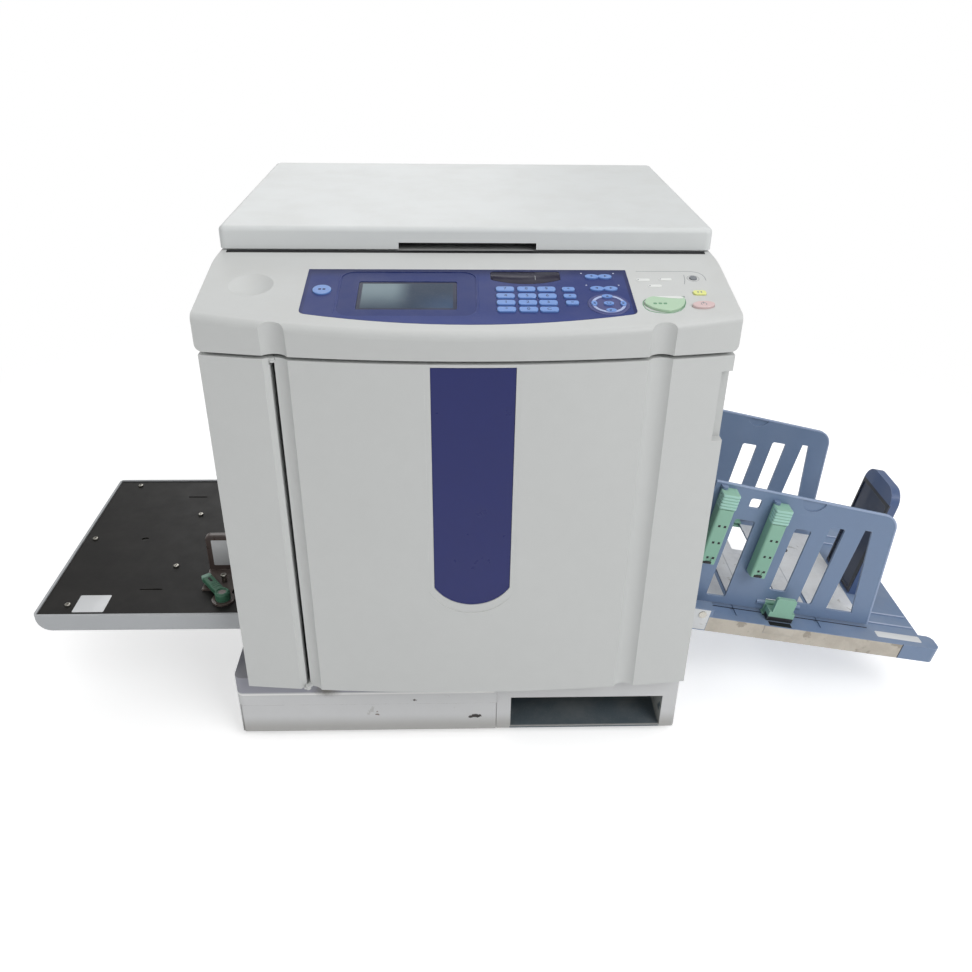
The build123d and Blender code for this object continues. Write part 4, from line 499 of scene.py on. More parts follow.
finishes = {
    "cover_white": {"colour": "CBCDCC", "rough": 0.46, "shift": 0.05, "grain": 1400.0,
        "edge": ("EDEEEC", 0.35), "dust": 0.10, "scratch": 0.12},
    "lid_grey": {"colour": "D8DBDB", "rough": 0.48, "shift": 0.04, "grain": 1300.0, "edge": ("F0F1F0", 0.4),
        "dust": 0.12, "scratch": 0.15, "paint": paintLid},
    "pad_white": {"colour": "E6E6E0", "rough": 0.7, "grain": 500.0, "bump": 0.12,
        "stain": ("B9B5A8", 14.0, 0.36, 0.25)},
    "base_grey": {"colour": "D3D4D5", "rough": 0.5, "shift": 0.08, "grain": 700.0, "bump": 0.06,
        "edge": ("8E8B86", 0.7), "patches": 60.0, "dust": 0.2, "scratch": 0.3, "hair": "8F8C88",
        "paint": paintBase},
    "foot_rubber": {"colour": "1C1C1C", "rough": 0.8, "shift": 0.3, "grain": 600.0, "bump": 0.12,
        "edge": ("4A4845", 0.5)},
    "frame_steel": {"colour": "A4A7AA", "rough": 0.38, "shift": 0.16, "grain": 220.0, "bump": 0.03,
        "metal": 0.85, "edge": ("D8DADC", 0.5), "dust": 0.3, "scratch": 0.35,
        "stain": ("6E655A", 18.0, 0.36, 0.4)},
    "bottle_plastic": {"colour": "262A30", "rough": 0.32, "shift": 0.2, "grain": 500.0, "coat": 0.2,
        "scratch": 0.3},
    "tray_blue": {"colour": "7287A6", "rough": 0.42, "shift": 0.10, "grain": 1000.0,
        "edge": ("AAB6CC", 0.55), "dust": 0.22, "dustColour": "A9ADB4", "scratch": 0.4, "hair": "B4BED0",
        "coat": 0.1, "paint": paintTray},
    "stop_blue": {"colour": "4B6088", "rough": 0.4, "shift": 0.09, "grain": 1000.0, "edge": ("A5B2CC", 0.5),
        "dust": 0.15, "scratch": 0.35, "hair": "A9B4C8", "coat": 0.15, "paint": paintStop},
    "floor_grey": {"colour": "E6E8EA", "rough": 0.5, "shift": 0.12, "grain": 500.0,
        "stain": ("8B8478", 26.0, 0.36, 0.5), "dust": 0.25, "scratch": 0.5, "hair": "7C7E84",
        "paint": paintFloor},
    "inlay_blue": {"colour": "2A3068", "rough": 0.32, "shift": 0.10, "specular": 0.25, "grain": 1500.0,
        "bump": 0.03, "edge": ("5E66A6", 0.4), "coat": 0.05, "dust": 0.1, "scratch": 0.12,
        "hair": "6A72AC"},
    "plate_blue": {"colour": "2F3C76", "rough": 0.34, "shift": 0.10, "specular": 0.15, "grain": 1700.0,
        "bump": 0.03, "edge": ("7C88C0", 0.5), "reach": 0.8, "dust": 0.04, "scratch": 0.12,
        "hair": "8A94C6", "paint": paintPlate},
    "screen_glass": {"colour": "22364C", "rough": 0.2, "shift": 0.12, "specular": 0.2, "grain": 300.0,
        "bump": 0.01, "dust": 0.05, "scratch": 0.15, "hair": "6C8494", "paint": paintScreen},
    "dark_plastic": {"colour": "1F1E1D", "rough": 0.42, "shift": 0.16, "specular": 0.2, "bump": 0.06,
        "edge": ("5C5A56", 0.6), "dust": 0.08, "dustColour": "5F5C58", "scratch": 0.4, "hair": "6E6B66"},
    "drum_mesh": {"colour": "888A8E", "rough": 0.4, "shift": 0.15, "metal": 0.7, "paint": paintDrum},
    "roller_rubber": {"colour": "2A2A2C", "rough": 0.72, "shift": 0.25, "grain": 800.0, "bump": 0.08,
        "stain": ("6A6862", 20.0, 0.34, 0.35)},
    "master_paper": {"colour": "E9E6DB", "rough": 0.75, "grain": 350.0, "bump": 0.06},
    "feed_grey": {"colour": "B2B5B8", "rough": 0.46, "shift": 0.07, "grain": 1100.0, "bump": 0.06,
        "edge": ("E6E8E8", 0.45), "dust": 0.12, "scratch": 0.25, "hair": "8F9294", "paint": paintFeedShade},
    "guide_brown": {"colour": "5A4E4A", "rough": 0.3, "shift": 0.3, "grain": 260.0, "edge": ("A89F98", 0.7),
        "coat": 0.2, "dust": 0.2, "scratch": 0.4, "hair": "A39A94"},
    "lever_green": {"colour": "46785F", "rough": 0.42, "shift": 0.14, "bump": 0.06, "edge": ("86B5A0", 0.6),
        "dust": 0.12, "scratch": 0.3, "hair": "9CC4B2"},
    "mint_green": {"colour": "86B5A0", "rough": 0.42, "shift": 0.10, "edge": ("B9DCCB", 0.6), "dust": 0.12,
        "scratch": 0.3, "hair": "5F8C76", "paint": paintArranger},
    "key_blue": {"colour": "6C93D4", "rough": 0.36, "shift": 0.10, "grain": 1300.0, "bump": 0.03,
        "edge": ("A8C2F0", 0.6), "reach": 0.5, "patches": 90.0, "dust": 0.08, "coat": 0.1},
    "key_dark": {"colour": "7B7F85", "rough": 0.4, "shift": 0.12, "grain": 1200.0, "bump": 0.03,
        "edge": ("B5B8BC", 0.6), "reach": 0.5, "patches": 90.0},
    "key_yellow": {"colour": "E4E890", "rough": 0.36, "shift": 0.08, "grain": 1200.0, "bump": 0.03,
        "edge": ("F6F8C8", 0.5), "reach": 0.5, "patches": 90.0, "coat": 0.2},
    "key_pink": {"colour": "D8BFBE", "rough": 0.36, "shift": 0.08, "grain": 1200.0, "bump": 0.03,
        "edge": ("F0DAD8", 0.5), "reach": 0.5, "patches": 90.0, "coat": 0.2},
    "key_green": {"colour": "B4D0B4", "rough": 0.36, "shift": 0.08, "grain": 1200.0, "bump": 0.03,
        "edge": ("D8EFD9", 0.5), "reach": 0.5, "patches": 90.0, "coat": 0.2},
}

# Finishes of the pieces that are added here
trimFinishes = {
    "padKeys": {"colour": "6C93D4", "rough": 0.38, "shift": 0.10, "grain": 1300.0, "bump": 0.03,
        "edge": ("A8C2F0", 0.5), "reach": 0.5, "patches": 90.0, "paint": paintPad},
    "darkInk": {"colour": "1E2550", "rough": 0.5, "shift": 0.2, "bump": 0.01},
    "greyInk": {"colour": "8E9196", "rough": 0.5, "shift": 0.15, "bump": 0.01},
    "greenInk": {"colour": "6E9C7C", "rough": 0.5, "shift": 0.15, "bump": 0.01},
    "paleInk": {"colour": "C8CFE6", "rough": 0.45, "shift": 0.1, "bump": 0.01},
    "smokedWindow": {"colour": "1B1930", "rough": 0.16, "shift": 0.3, "specular": 0.15, "grain": 300.0,
        "bump": 0.01, "dust": 0.03, "scratch": 0.15, "hair": "5A5A70"},
    "softWhite": {"colour": "E2E4E2", "rough": 0.42, "shift": 0.05, "grain": 1300.0, "bump": 0.03,
        "edge": ("F6F6F4", 0.4), "reach": 0.4},
    "screwSteel": {"colour": "B9B6AE", "rough": 0.28, "shift": 0.15, "grain": 400.0, "bump": 0.02,
        "metal": 1.0, "scratch": 0.4},
    "blankLabel": {"colour": "DADCDE", "rough": 0.4, "shift": 0.07, "grain": 300.0, "bump": 0.03,
        "edge": ("A7A49C", 0.5), "reach": 0.6, "stain": ("A29B8E", 40.0, 0.36, 0.4), "coat": 0.3},
    "blackTrim": {"colour": "17181B", "rough": 0.55, "shift": 0.2, "edge": ("45474C", 0.5), "reach": 0.5},
    "wornGreen": {"colour": "8FB5A4", "rough": 0.45, "shift": 0.12, "bump": 0.04, "edge": ("C9DDD3", 0.7),
        "reach": 0.6, "scratch": 0.3, "hair": "5F8C76"},
    "paleMint": {"colour": "A8D4C8", "rough": 0.4, "shift": 0.09, "bump": 0.04, "edge": ("DDF2E8", 0.7),
        "reach": 0.6, "dust": 0.08},
    "paleBlue": {"colour": "9AABC8", "rough": 0.4, "shift": 0.1, "bump": 0.04, "edge": ("C6D0E2", 0.6),
        "reach": 0.6, "scratch": 0.3, "hair": "5E6E8C"},
    "brassPin": {"colour": "C9A868", "rough": 0.3, "shift": 0.12, "grain": 500.0, "bump": 0.02,
        "metal": 1.0, "scratch": 0.4},
}


def makeGlass():
    # The exposure glass: clear, faintly green, with dust on it
    look = {"colour": "DCE8E4", "rough": 0.03, "dust": 0.05}
    material = bpy.data.materials.new("bed_glass")
    material.use_nodes = True
    tree = material.node_tree
    shader = tree.nodes["Principled BSDF"]
    texture = tree.nodes.new("ShaderNodeTexCoord")
    place = texture.outputs["Object"]
    film = useEffect(tree, effects["dust"], Place=place, Facing=texture.outputs["Normal"],
                     Amount=look["dust"])["Mask"]
    tree.links.new(blendColour(tree, film, tint(look["colour"]), tint("B9B6AE")), shader.inputs["Base Color"])
    tree.links.new(calc(tree, "MULTIPLY_ADD", film, 0.9, look["rough"]), shader.inputs["Roughness"])
    shader.inputs["Transmission Weight"].default_value = 0.85
    shader.inputs["IOR"].default_value = 1.5
    return material


materials = {name: makeFinish(name, look) for name, look in finishes.items()}
materials["bed_glass"] = makeGlass()
trims = {name: makeFinish(name, look) for name, look in trimFinishes.items()}
allFinishes = {**materials, **trims}
ownFinish = {"position_pad": trims["padKeys"]}

for nodeName, nodeObject in nodes.items():
    material = ownFinish.get(nodeName, materials[slotOf[nodeName]])
    nodeObject.data.materials.clear()
    nodeObject.data.materials.append(material)
print("finishes on", len(nodes), "nodes")


# Modelling helpers; sizes in millimetres

def metres(values):
    return [value * mm for value in values]


def moved(x, y, z):
    return Matrix.Translation(metres((x, y, z)))


def clearSelection():
    bpy.ops.object.select_all(action="DESELECT")


def pickOnly(piece):
    clearSelection()
    piece.select_set(True)
    bpy.context.view_layer.objects.active = piece


def takeNew(name):
    # The piece that an operator has just added, with its place put into its mesh
    piece = bpy.context.object
    piece.name = name
    bpy.ops.object.transform_apply(location=True, rotation=True, scale=True)
    return piece


def openEdit(piece, kind, wanted):
    # Edit mode, with only the faces, edges or points picked that pass the test
    pickOnly(piece)
    bpy.ops.object.mode_set(mode="EDIT")
    bpy.ops.mesh.select_mode(type={"verts": "VERT", "edges": "EDGE", "faces": "FACE"}[kind])
    bpy.ops.mesh.select_all(action="DESELECT")
    mesh = bmesh.from_edit_mesh(piece.data)
    for element in getattr(mesh, kind):
        if wanted(element):
            element.select_set(True)
    mesh.select_flush_mode()
    bmesh.update_edit_mesh(piece.data)


def closeEdit():
    bpy.ops.object.mode_set(mode="OBJECT")


def faceOutwards():
    bpy.ops.mesh.select_all(action="SELECT")
    bpy.ops.mesh.normals_make_consistent(inside=False)
    closeEdit()


def raiseSheet(piece, height):
    # A flat sheet raised to a plate
    openEdit(piece, "faces", lambda face: True)
    bpy.ops.mesh.extrude_region_move(TRANSFORM_OT_translate={"value": (0, 0, height * mm)})
    faceOutwards()


def isUpright(edge):
    along = edge.verts[1].co - edge.verts[0].co
    return abs(along.z) > 0.99 * along.length


def isTop(face):
    return face.normal.z > 0.9


def applyModifier(piece, kind, **settings):
    pickOnly(piece)
    modifier = piece.modifiers.new(kind, kind)
    for key, value in settings.items():
        setattr(modifier, key, value)
    bpy.ops.object.modifier_apply(modifier=modifier.name)


def easeEdges(piece, width):
    applyModifier(piece, "BEVEL", width=width * mm, segments=2, limit_method="ANGLE", angle_limit=radians(35),
                  harden_normals=False)


def copyPiece(piece, name, shift=(0, 0, 0)):
    twin = piece.copy()
    twin.data = piece.data.copy()
    twin.name = name
    twin.data.transform(moved(*shift))
    bpy.context.collection.objects.link(twin)
    return twin


def settle(piece, body, finish, place=None):
    # Puts a finished piece on its slope, gives it its finish and lets it ride on its body
    if place is not None:
        piece.data.transform(place)
    pickOnly(piece)
    bpy.ops.object.shade_smooth_by_angle(angle=radians(38))
    piece.data.materials.clear()
    piece.data.materials.append(allFinishes[finish])
    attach(piece, body)


def addSlab(name, low, high, corner=0.0, ease=0.0, segments=5):
    # A slab between two corners, its upright edges rounded and the rest eased
    clearSelection()
    centre = metres((a + b) / 2 for a, b in zip(low, high))
    size = metres(b - a for a, b in zip(low, high))
    bpy.ops.mesh.primitive_cube_add(size=1, location=centre, scale=size)
    piece = takeNew(name)
    if corner:
        openEdit(piece, "edges", isUpright)
        bpy.ops.mesh.bevel(offset=corner * mm, segments=segments, affect="EDGES")
        closeEdit()
    if ease:
        easeEdges(piece, ease)
    return piece


def addDisc(name, centre, radius, height, ease=0.0, sides=32):
    # A low disc that stands on a point, its rim eased and its top drawn in a little
    clearSelection()
    x, y, foot = centre
    bpy.ops.mesh.primitive_cylinder_add(vertices=sides, radius=radius * mm, depth=height * mm,
                                        location=metres((x, y, foot + height / 2)))
    piece = takeNew(name)
    openEdit(piece, "faces", isTop)
    bpy.ops.mesh.inset(thickness=radius * 0.3 * mm)
    bpy.ops.transform.translate(value=(0, 0, height * 0.08 * mm))
    closeEdit()
    if ease:
        easeEdges(piece, ease)
    return piece


def addScrew(name, centre, radius, height):
    # A pan head with a crossed recess
    piece = addDisc(name, centre, radius, height, ease=height * 0.3, sides=24)
    x, y, foot = centre
    for turn in (0, pi / 2):
        clearSelection()
        bpy.ops.mesh.primitive_cube_add(size=1, location=metres((x, y, foot + height)), rotation=(0, 0, turn),
                                        scale=metres((radius * 1.1, radius * 0.24, height * 0.9)))
        cutter = takeNew("cutter")
        applyModifier(piece, "BOOLEAN", operation="DIFFERENCE", object=cutter, solver="EXACT")
        bpy.data.objects.remove(cutter)
    return piece


def addLine(name, points, thickness, closed=False, flat=0.45):
    # A thin raised line through points
    curve = bpy.data.curves.new(name, "CURVE")
    curve.dimensions = "3D"
    run = curve.splines.new("POLY")
    run.points.add(len(points) - 1)
    for spot, point in zip(run.points, points):
        spot.co = (*metres(point), 1.0)
    run.use_cyclic_u = closed
    curve.bevel_depth = thickness / 2 * mm
    curve.bevel_resolution = 2
    curve.use_fill_caps = True
    piece = bpy.data.objects.new(name, curve)
    bpy.context.collection.objects.link(piece)
    pickOnly(piece)
    bpy.ops.object.convert(target="MESH")
    base = min(point[2] for point in points)
    piece.data.transform(moved(0, 0, base) @ Matrix.Diagonal((1, 1, flat, 1)) @ moved(0, 0, -base))
    return piece


def addText(name, words, height, spot, thickness=0.12):
    # Plain figures or signs, as a thin raised print
    clearSelection()
    bpy.ops.object.text_add(location=(0, 0, 0))
    piece = bpy.context.object
    piece.name = name
    piece.data.body = words
    piece.data.size = height * mm
    piece.data.align_x = "CENTER"
    piece.data.align_y = "CENTER"
    piece.data.extrude = thickness / 2 * mm
    bpy.ops.object.convert(target="MESH")
    piece.data.transform(moved(*spot))
    return piece


def addArrow(name, spot, size, turn):
    # A small raised triangle that points along a direction
    clearSelection()
    bpy.ops.mesh.primitive_circle_add(vertices=3, radius=size * mm, fill_type="NGON", location=metres(spot),
                                      rotation=(0, 0, turn - pi / 2))
    piece = takeNew(name)
    raiseSheet(piece, 0.16)
    easeEdges(piece, size * 0.12)
    return piece


def joinPieces(name, pieces):
    clearSelection()
    for piece in pieces:
        piece.select_set(True)
    bpy.context.view_layer.objects.active = pieces[0]
    bpy.ops.object.join()
    joined = bpy.context.object
    joined.name = name
    return joined


def arcPoints(centre, radius, start, end, count, height):
    angles = [radians(start + (end - start) * step / (count - 1)) for step in range(count)]
    return [(centre[0] + radius * cos(a), centre[1] + radius * sin(a), height) for a in angles]


toFront = Matrix.Rotation(pi / 2, 4, "X")    # stands a flat piece up, its top towards the front


# Control panel; across and up the slope

panelTrim = {
    "plateLevel": 0.3,          # the plate's face above the panel
    "window": (29.6, 121.4, 80.6, 114.4), "windowFoot": -0.5, "windowHeight": 0.65, "windowBow": 12.0,
    "windowMark": (88.0, 88.8, 92.0, 104.0),
    "membranes": ((231.0, 93.0), (260.6, 94.5), (244.0, 76.7)), "membraneSize": (18.0, 6.2, 0.7),
    "lineWidth": 0.8, "lineLift": 0.02,
    "outline": ((225.0, 117.0), (300.0, 117.0), (308.0, 114.0), (313.0, 108.0), (315.0, 100.0),
                (315.0, 92.0)),
    "divider": ((284.0, 82.0), (287.0, 94.0), (288.0, 107.0)),
    "wakeKey": (298.6, 97.6), "wakeRing": 8.0,
    "bezelSides": ((-148.0, 128, 232), (-8.0, -52, 52)), "bezelMiddle": 55.0, "bezelRound": 62.0,
    "bezel": (-168.5, 12.5, -4.0, 115.0), "bezelWidth": 1.6,
    "startBar": (241.0, 278.0, 46.2, 49.2),
    "dots": ((150.5, 110.0), (193.5, 110.0), (154.0, 77.5), (196.5, 77.5)), "dotRadius": 1.1,
}


def makeCountWindow():
    left, right, low, high = panelTrim["window"]
    middle, half = (left + right) / 2, (right - left) / 2
    clearSelection()
    bpy.ops.mesh.primitive_grid_add(x_subdivisions=24, y_subdivisions=1, size=1,
                                    location=metres((middle, (low + high) / 2, panelTrim["windowFoot"])))
    bpy.context.object.scale = ((right - left) * mm, (high - low) * mm, 1)
    window = takeNew("countWindow")
    for point in window.data.vertices:
        if point.co.y < (low + 1) * mm:
            point.co.y += panelTrim["windowBow"] * mm * ((point.co.x / mm - middle) / half) ** 2
    raiseSheet(window, panelTrim["windowHeight"])
    easeEdges(window, 0.25)
    settle(window, "scanner_table", "smokedWindow", panelPlace)
    left, right, low, high = panelTrim["windowMark"]
    mark = addSlab("countWindowMark", (left, low, 0.1), (right, high, 0.22), ease=0.04)
    settle(mark, "scanner_table", "greyInk", panelPlace)


def makeMembranes():
    width, depth, height = panelTrim["membraneSize"]
    firstX, firstV = panelTrim["membranes"][0]
    left = firstX - width / 2
    model = addSlab("membraneKey1", (left, firstV - depth / 2, -0.1),
                    (left + width, firstV + depth / 2, height), corner=depth * 0.46, ease=0.3, segments=8)
    lamp = addDisc("membraneLamp1", (left + 2.6, firstV, height * 0.95), 1.0, 0.25, ease=0.06, sides=20)
    for index, (x, v) in enumerate(panelTrim["membranes"]):
        shift = (x - firstX, v - firstV, 0)
        key = copyPiece(model, f"membraneKey{index + 1}x", shift)
        dot = copyPiece(lamp, f"membraneLamp{index + 1}x", shift)
        settle(key, "scanner_table", "softWhite", panelPlace)
        settle(dot, "scanner_table", "greyInk", panelPlace)
    bpy.data.objects.remove(model)
    bpy.data.objects.remove(lamp)


def makePanelLines():
    width, lift = panelTrim["lineWidth"], panelTrim["lineLift"]
    lines = [addLine(f"panel{name.title()}", [(x, v, lift) for x, v in panelTrim[name]], width)
             for name in ("outline", "divider")]
    ring = arcPoints(panelTrim["wakeKey"], panelTrim["wakeRing"], 0, 352, 32, lift)
    lines.append(addLine("wakeRing", ring, width * 0.8, True))
    settle(joinPieces("panelLines", lines), "scanner_table", "greyInk", panelPlace)
    # rim of the screen's bezel: two arcs, cut off square at its edges
    left, right, low, high = panelTrim["bezel"]
    rims = []
    for centre, start, end in panelTrim["bezelSides"]:
        arc = arcPoints((centre, panelTrim["bezelMiddle"]), panelTrim["bezelRound"], start, end, 20,
                        panelTrim["plateLevel"])
        cut = [(min(max(x, left), right), min(max(v, low), high), n) for x, v, n in arc]
        rims.append(addLine("bezelRim", cut, panelTrim["bezelWidth"]))
    settle(joinPieces("bezelRims", rims), "scanner_table", "plate_blue", panelPlace)


def makePanelBars():
    left, right, low, high = panelTrim["startBar"]
    bar = addSlab("startBar", (left, low, -0.1), (right, high, 0.5), corner=1.2, ease=0.2)
    settle(bar, "scanner_table", "greyInk", panelPlace)
    dots = [addDisc(f"plateDot{index}", (x, v, panelTrim["plateLevel"] - 0.1), panelTrim["dotRadius"], 0.35,
                    ease=0.08, sides=20) for index, (x, v) in enumerate(panelTrim["dots"])]
    settle(joinPieces("plateDots", dots), "scanner_table", "paleInk", panelPlace)


# Key prints: plain figures and arrows only

keyPrints = {
    "figures": ("7", "8", "9", "4", "5", "6", "1", "2", "3", "*", "0", "C"),
    "columns": (47.0, 74.5, 100.5), "rows": (65.0, 47.0, 30.0, 13.0),
    "figureHeight": 8.2, "signHeight": 7.5,
    "digitTop": 2.2, "padTop": 2.6, "startTop": 3.4, "stopTop": 3.0,
    "sideKeys": (((129.0, 65.0), "+"), ((129.5, 47.0), "x"), ((131.0, 30.0), "=")),
    "rockers": ((172.0, 99.5), (175.5, 67.0)), "rockerReach": 9.0, "rockerArrow": 2.4,
    "padCentre": (177.0, 27.0), "padReach": (18.2, 17.5), "padArrow": 2.2, "padCircle": 2.6,
    # rows of marks: count, pitch, place, size, thickness, corner, ease
    "modeMarks": (2, 5.5, (-192.5, 60.2), (3.7, 3.6), 0.15, 0.8, 0.04),
    "resetMarks": (2, 4.4, (295.6, 55.4), (2.0, 3.2), 0.15, 0.0, 0.04),
    "startMarks": (3, 6.5, (233.0, 23.0), (4.5, 4.0), 0.18, 1.2, 0.05),
    "stopRing": ((297.5, 25.0), 3.4), "stopBar": (297.0, 298.0, 25.5, 30.0),
    "startBand": ((236.0, 43.2), (246.0, 40.6), (258.0, 38.4), (268.0, 37.4), (273.5, 37.8), (273.8, 40.5),
                  (271.0, 43.6)),
}


def addMarks(name, kind, level):
    # A row of equal small marks, joined
    count, pitch, (x, v), (wide, deep), thickness, corner, ease = keyPrints[kind]
    marks = [addSlab(f"{name}{index}", (x + pitch * index, v, level),
                     (x + pitch * index + wide, v + deep, level + thickness), corner=corner, ease=ease)
             for index in range(count)]
    return joinPieces(name, marks)


def makeKeyPrints():
    top = keyPrints["digitTop"]
    for index, figure in enumerate(keyPrints["figures"]):
        spot = (keyPrints["columns"][index % 3], keyPrints["rows"][index // 3], top)
        sign = addText(f"figure{index + 1}", figure, keyPrints["figureHeight"], spot)
        settle(sign, f"digit_key_{index + 1}", "darkInk", panelPlace)
    for index, ((x, v), figure) in enumerate(keyPrints["sideKeys"]):
        sign = addText(f"sideSign{index + 1}", figure, keyPrints["signHeight"], (x, v, top))
        settle(sign, f"side_key_{index + 1}", "darkInk", panelPlace)
    for index, (x, v) in enumerate(keyPrints["rockers"]):
        arrows = [addArrow(f"rockerArrow{index}{side}", (x + side * keyPrints["rockerReach"], v, top),
                           keyPrints["rockerArrow"], 0 if side > 0 else pi) for side in (-1, 1)]
        settle(joinPieces(f"rockerArrows{index + 1}", arrows), f"arrow_rocker_{index + 1}",
               "darkInk", panelPlace)
    (x, v), (wide, deep), level = keyPrints["padCentre"], keyPrints["padReach"], keyPrints["padTop"]
    arrows = []
    for turn in (0, 90, 180, 270):
        angle = radians(turn)
        spot = (x + wide * cos(angle), v + deep * sin(angle), level)
        arrows.append(addArrow(f"padArrow{turn}", spot, keyPrints["padArrow"], angle))
    circle = arcPoints((x, v + 0.5), keyPrints["padCircle"], 0, 345, 24, level)
    arrows.append(addLine("padCircle", circle, 0.7, True))
    settle(joinPieces("padArrows", arrows), "position_pad", "darkInk", panelPlace)
    settle(addMarks("modeSign", "modeMarks", top), "mode_key", "darkInk", panelPlace)
    settle(addMarks("resetMarks", "resetMarks", top), "reset_key", "greyInk", panelPlace)
    level = keyPrints["stopTop"]
    ring = addLine("stopRing", arcPoints(*keyPrints["stopRing"], -50, 230, 24, level), 0.9)
    left, right, low, high = keyPrints["stopBar"]
    bar = addSlab("stopBar", (left, low, level), (right, high, level + 0.2), ease=0.05)
    settle(joinPieces("stopSign", [ring, bar]), "stop_key", "greyInk", panelPlace)
    level = keyPrints["startTop"]
    settle(addMarks("startMarks", "startMarks", level), "start_key", "greenInk", panelPlace)
    # pale band along the key's upper edge
    corners = keyPrints["startBand"]
    clearSelection()
    bpy.ops.mesh.primitive_circle_add(vertices=len(corners), radius=1, fill_type="NGON")
    ridge = bpy.context.object
    ridge.name = "startRidge"
    for point, (x, v) in zip(ridge.data.vertices, corners):
        point.co = metres((x, v, level))
    raiseSheet(ridge, 0.3)
    easeEdges(ridge, 0.1)
    settle(ridge, "start_key", "softWhite", panelPlace)


startRim = {
    "left": 221.0, "high": 45.8, "round": 17.0,
    # from the left side round the foot to the upper right corner
    "rest": ((221.0, 25.0), (222.5, 18.0), (226.5, 12.0), (234.0, 8.4), (245.0, 6.2), (256.0, 7.4),
             (266.0, 13.2), (272.5, 22.2), (276.2, 33.2), (277.0, 40.8), (275.6, 44.4), (272.0, 45.8)),
    "lift": 0.02, "width": 1.3,
}


def makeStartFrame():
    # A slim rim round the start key, on the panel
    radius = startRim["round"]
    x, v = startRim["left"] + radius, startRim["high"] - radius
    shape = [(x - radius * sin(radians(a)), v + radius * cos(radians(a))) for a in range(0, 91, 15)]
    shape += startRim["rest"]
    rim = addLine("startFrame", [(x, v, startRim["lift"]) for x, v in shape], startRim["width"], True, 0.6)
    settle(rim, "scanner_table", "greenInk", panelPlace)


makeCountWindow()
makeMembranes()
makePanelLines()
makePanelBars()
makeStartFrame()
makeKeyPrints()
print("panel trimmed")


# Feed tray

feedTrim = {
    "plateTop": 220.0,
    "screws": ((-632.0, 124.0), (-655.0, -65.0), (-490.0, 15.5), (-491.0, -151.0), (-633.0, -257.0)),
    "screwRadius": 4.6, "screwHeight": 3.0,
    "label": (-621.0, -572.0, -275.0, -231.0),
    "guideFace": -165.0, "guideLabel": (-422.0, -364.0, 232.0, 281.0),
    "leverHub": (-391.0, -246.0), "leverTop": 236.3, "leverTurn": 128.0, "leverRing": (9.2, 1.2),
    "leverSlotShade": (37.0, 50.0, 4.0), "leverTip": (52.5, 62.3, 16.3),
    "leverRidges": (19.0, 25.0, 31.0), "ridgeSize": (1.8, 13.2),
    "leverScrew": (-399.0, -199.0), "leverScrewRadius": 5.2,
    "footTop": 223.0, "stemHeight": 11.0, "stemRadius": 4.0,
}


def makeLeverTrim():
    # Modelled along the lever's arm, then turned with it about the hub
    x, y = feedTrim["leverHub"]
    turned = moved(x, y, feedTrim["leverTop"]) @ Matrix.Rotation(radians(feedTrim["leverTurn"]), 4, "Z")
    radius, thickness = metres(feedTrim["leverRing"])
    clearSelection()
    bpy.ops.mesh.primitive_torus_add(major_radius=radius, minor_radius=thickness, major_segments=48,
                                     minor_segments=10)
    ring = bpy.context.object
    ring.name = "leverRing"
    openEdit(ring, "faces", lambda face: face.normal.z > 0.8)
    bpy.ops.mesh.inset(thickness=0.2 * mm)
    bpy.ops.transform.translate(value=(0, 0, 0.25 * mm))
    closeEdit()
    long, wide = (size / 2 for size in feedTrim["ridgeSize"])
    ridges = [addSlab(f"leverRidge{index}", (along - long, -wide, -0.3), (along + long, wide, 0.5),
                      corner=0.7, ease=0.25) for index, along in enumerate(feedTrim["leverRidges"])]
    settle(joinPieces("leverRidges", [ring] + ridges), "guide_lever", "lever_green", turned)
    # the slot in the arm is a black inset: painted shade in its depth
    start, end, wide = feedTrim["leverSlotShade"]
    slotPiece = addSlab("leverSlotShade", (start, -wide / 2, -0.2), (end, wide / 2, 0.18), corner=1.8, ease=0.06)
    settle(slotPiece, "guide_lever", "blackTrim", turned)
    start, end, wide = feedTrim["leverTip"]
    tip = addSlab("leverTip", (start, -wide / 2, -6.5), (end, wide / 2, 0.25), corner=3.6, ease=1.4)
    settle(tip, "guide_lever", "wornGreen", turned)


def makeFeedTrim():
    top = feedTrim["plateTop"]
    model = addScrew("feedScrew", (0, 0, top - 0.1), feedTrim["screwRadius"], feedTrim["screwHeight"])
    for index, (x, y) in enumerate(feedTrim["screws"]):
        head = copyPiece(model, f"feedScrew{index + 1}", (x, y, 0))
        settle(head, "feed_tray", "screwSteel")
    bpy.data.objects.remove(model)
    left, right, front, back = feedTrim["label"]
    label = addSlab("feedLabel", (left, front, top - 0.05), (right, back, top + 0.25), corner=2.0, ease=0.08)
    settle(label, "feed_tray", "blankLabel")
    left, right, low, high = feedTrim["guideLabel"]
    label = addSlab("guideLabel", (left, low, -0.05), (right, high, 0.25), corner=1.5, ease=0.08)
    settle(label, "feed_tray", "blankLabel", moved(0, feedTrim["guideFace"], 0) @ toFront)
    (x, y), foot, tall = feedTrim["leverScrew"], feedTrim["footTop"], feedTrim["stemHeight"]
    post = addDisc("leverStem", (x, y, foot), feedTrim["stemRadius"], tall, ease=0.6, sides=28)
    settle(post, "feed_tray", "screwSteel")
    screw = addScrew("leverScrew", (x, y, foot + tall), feedTrim["leverScrewRadius"], feedTrim["screwHeight"])
    settle(screw, "feed_tray", "screwSteel")
    makeLeverTrim()


makeFeedTrim()
print("feed side trimmed")


# Receiving tray; down the slope, across from the paper's middle, out of the slope

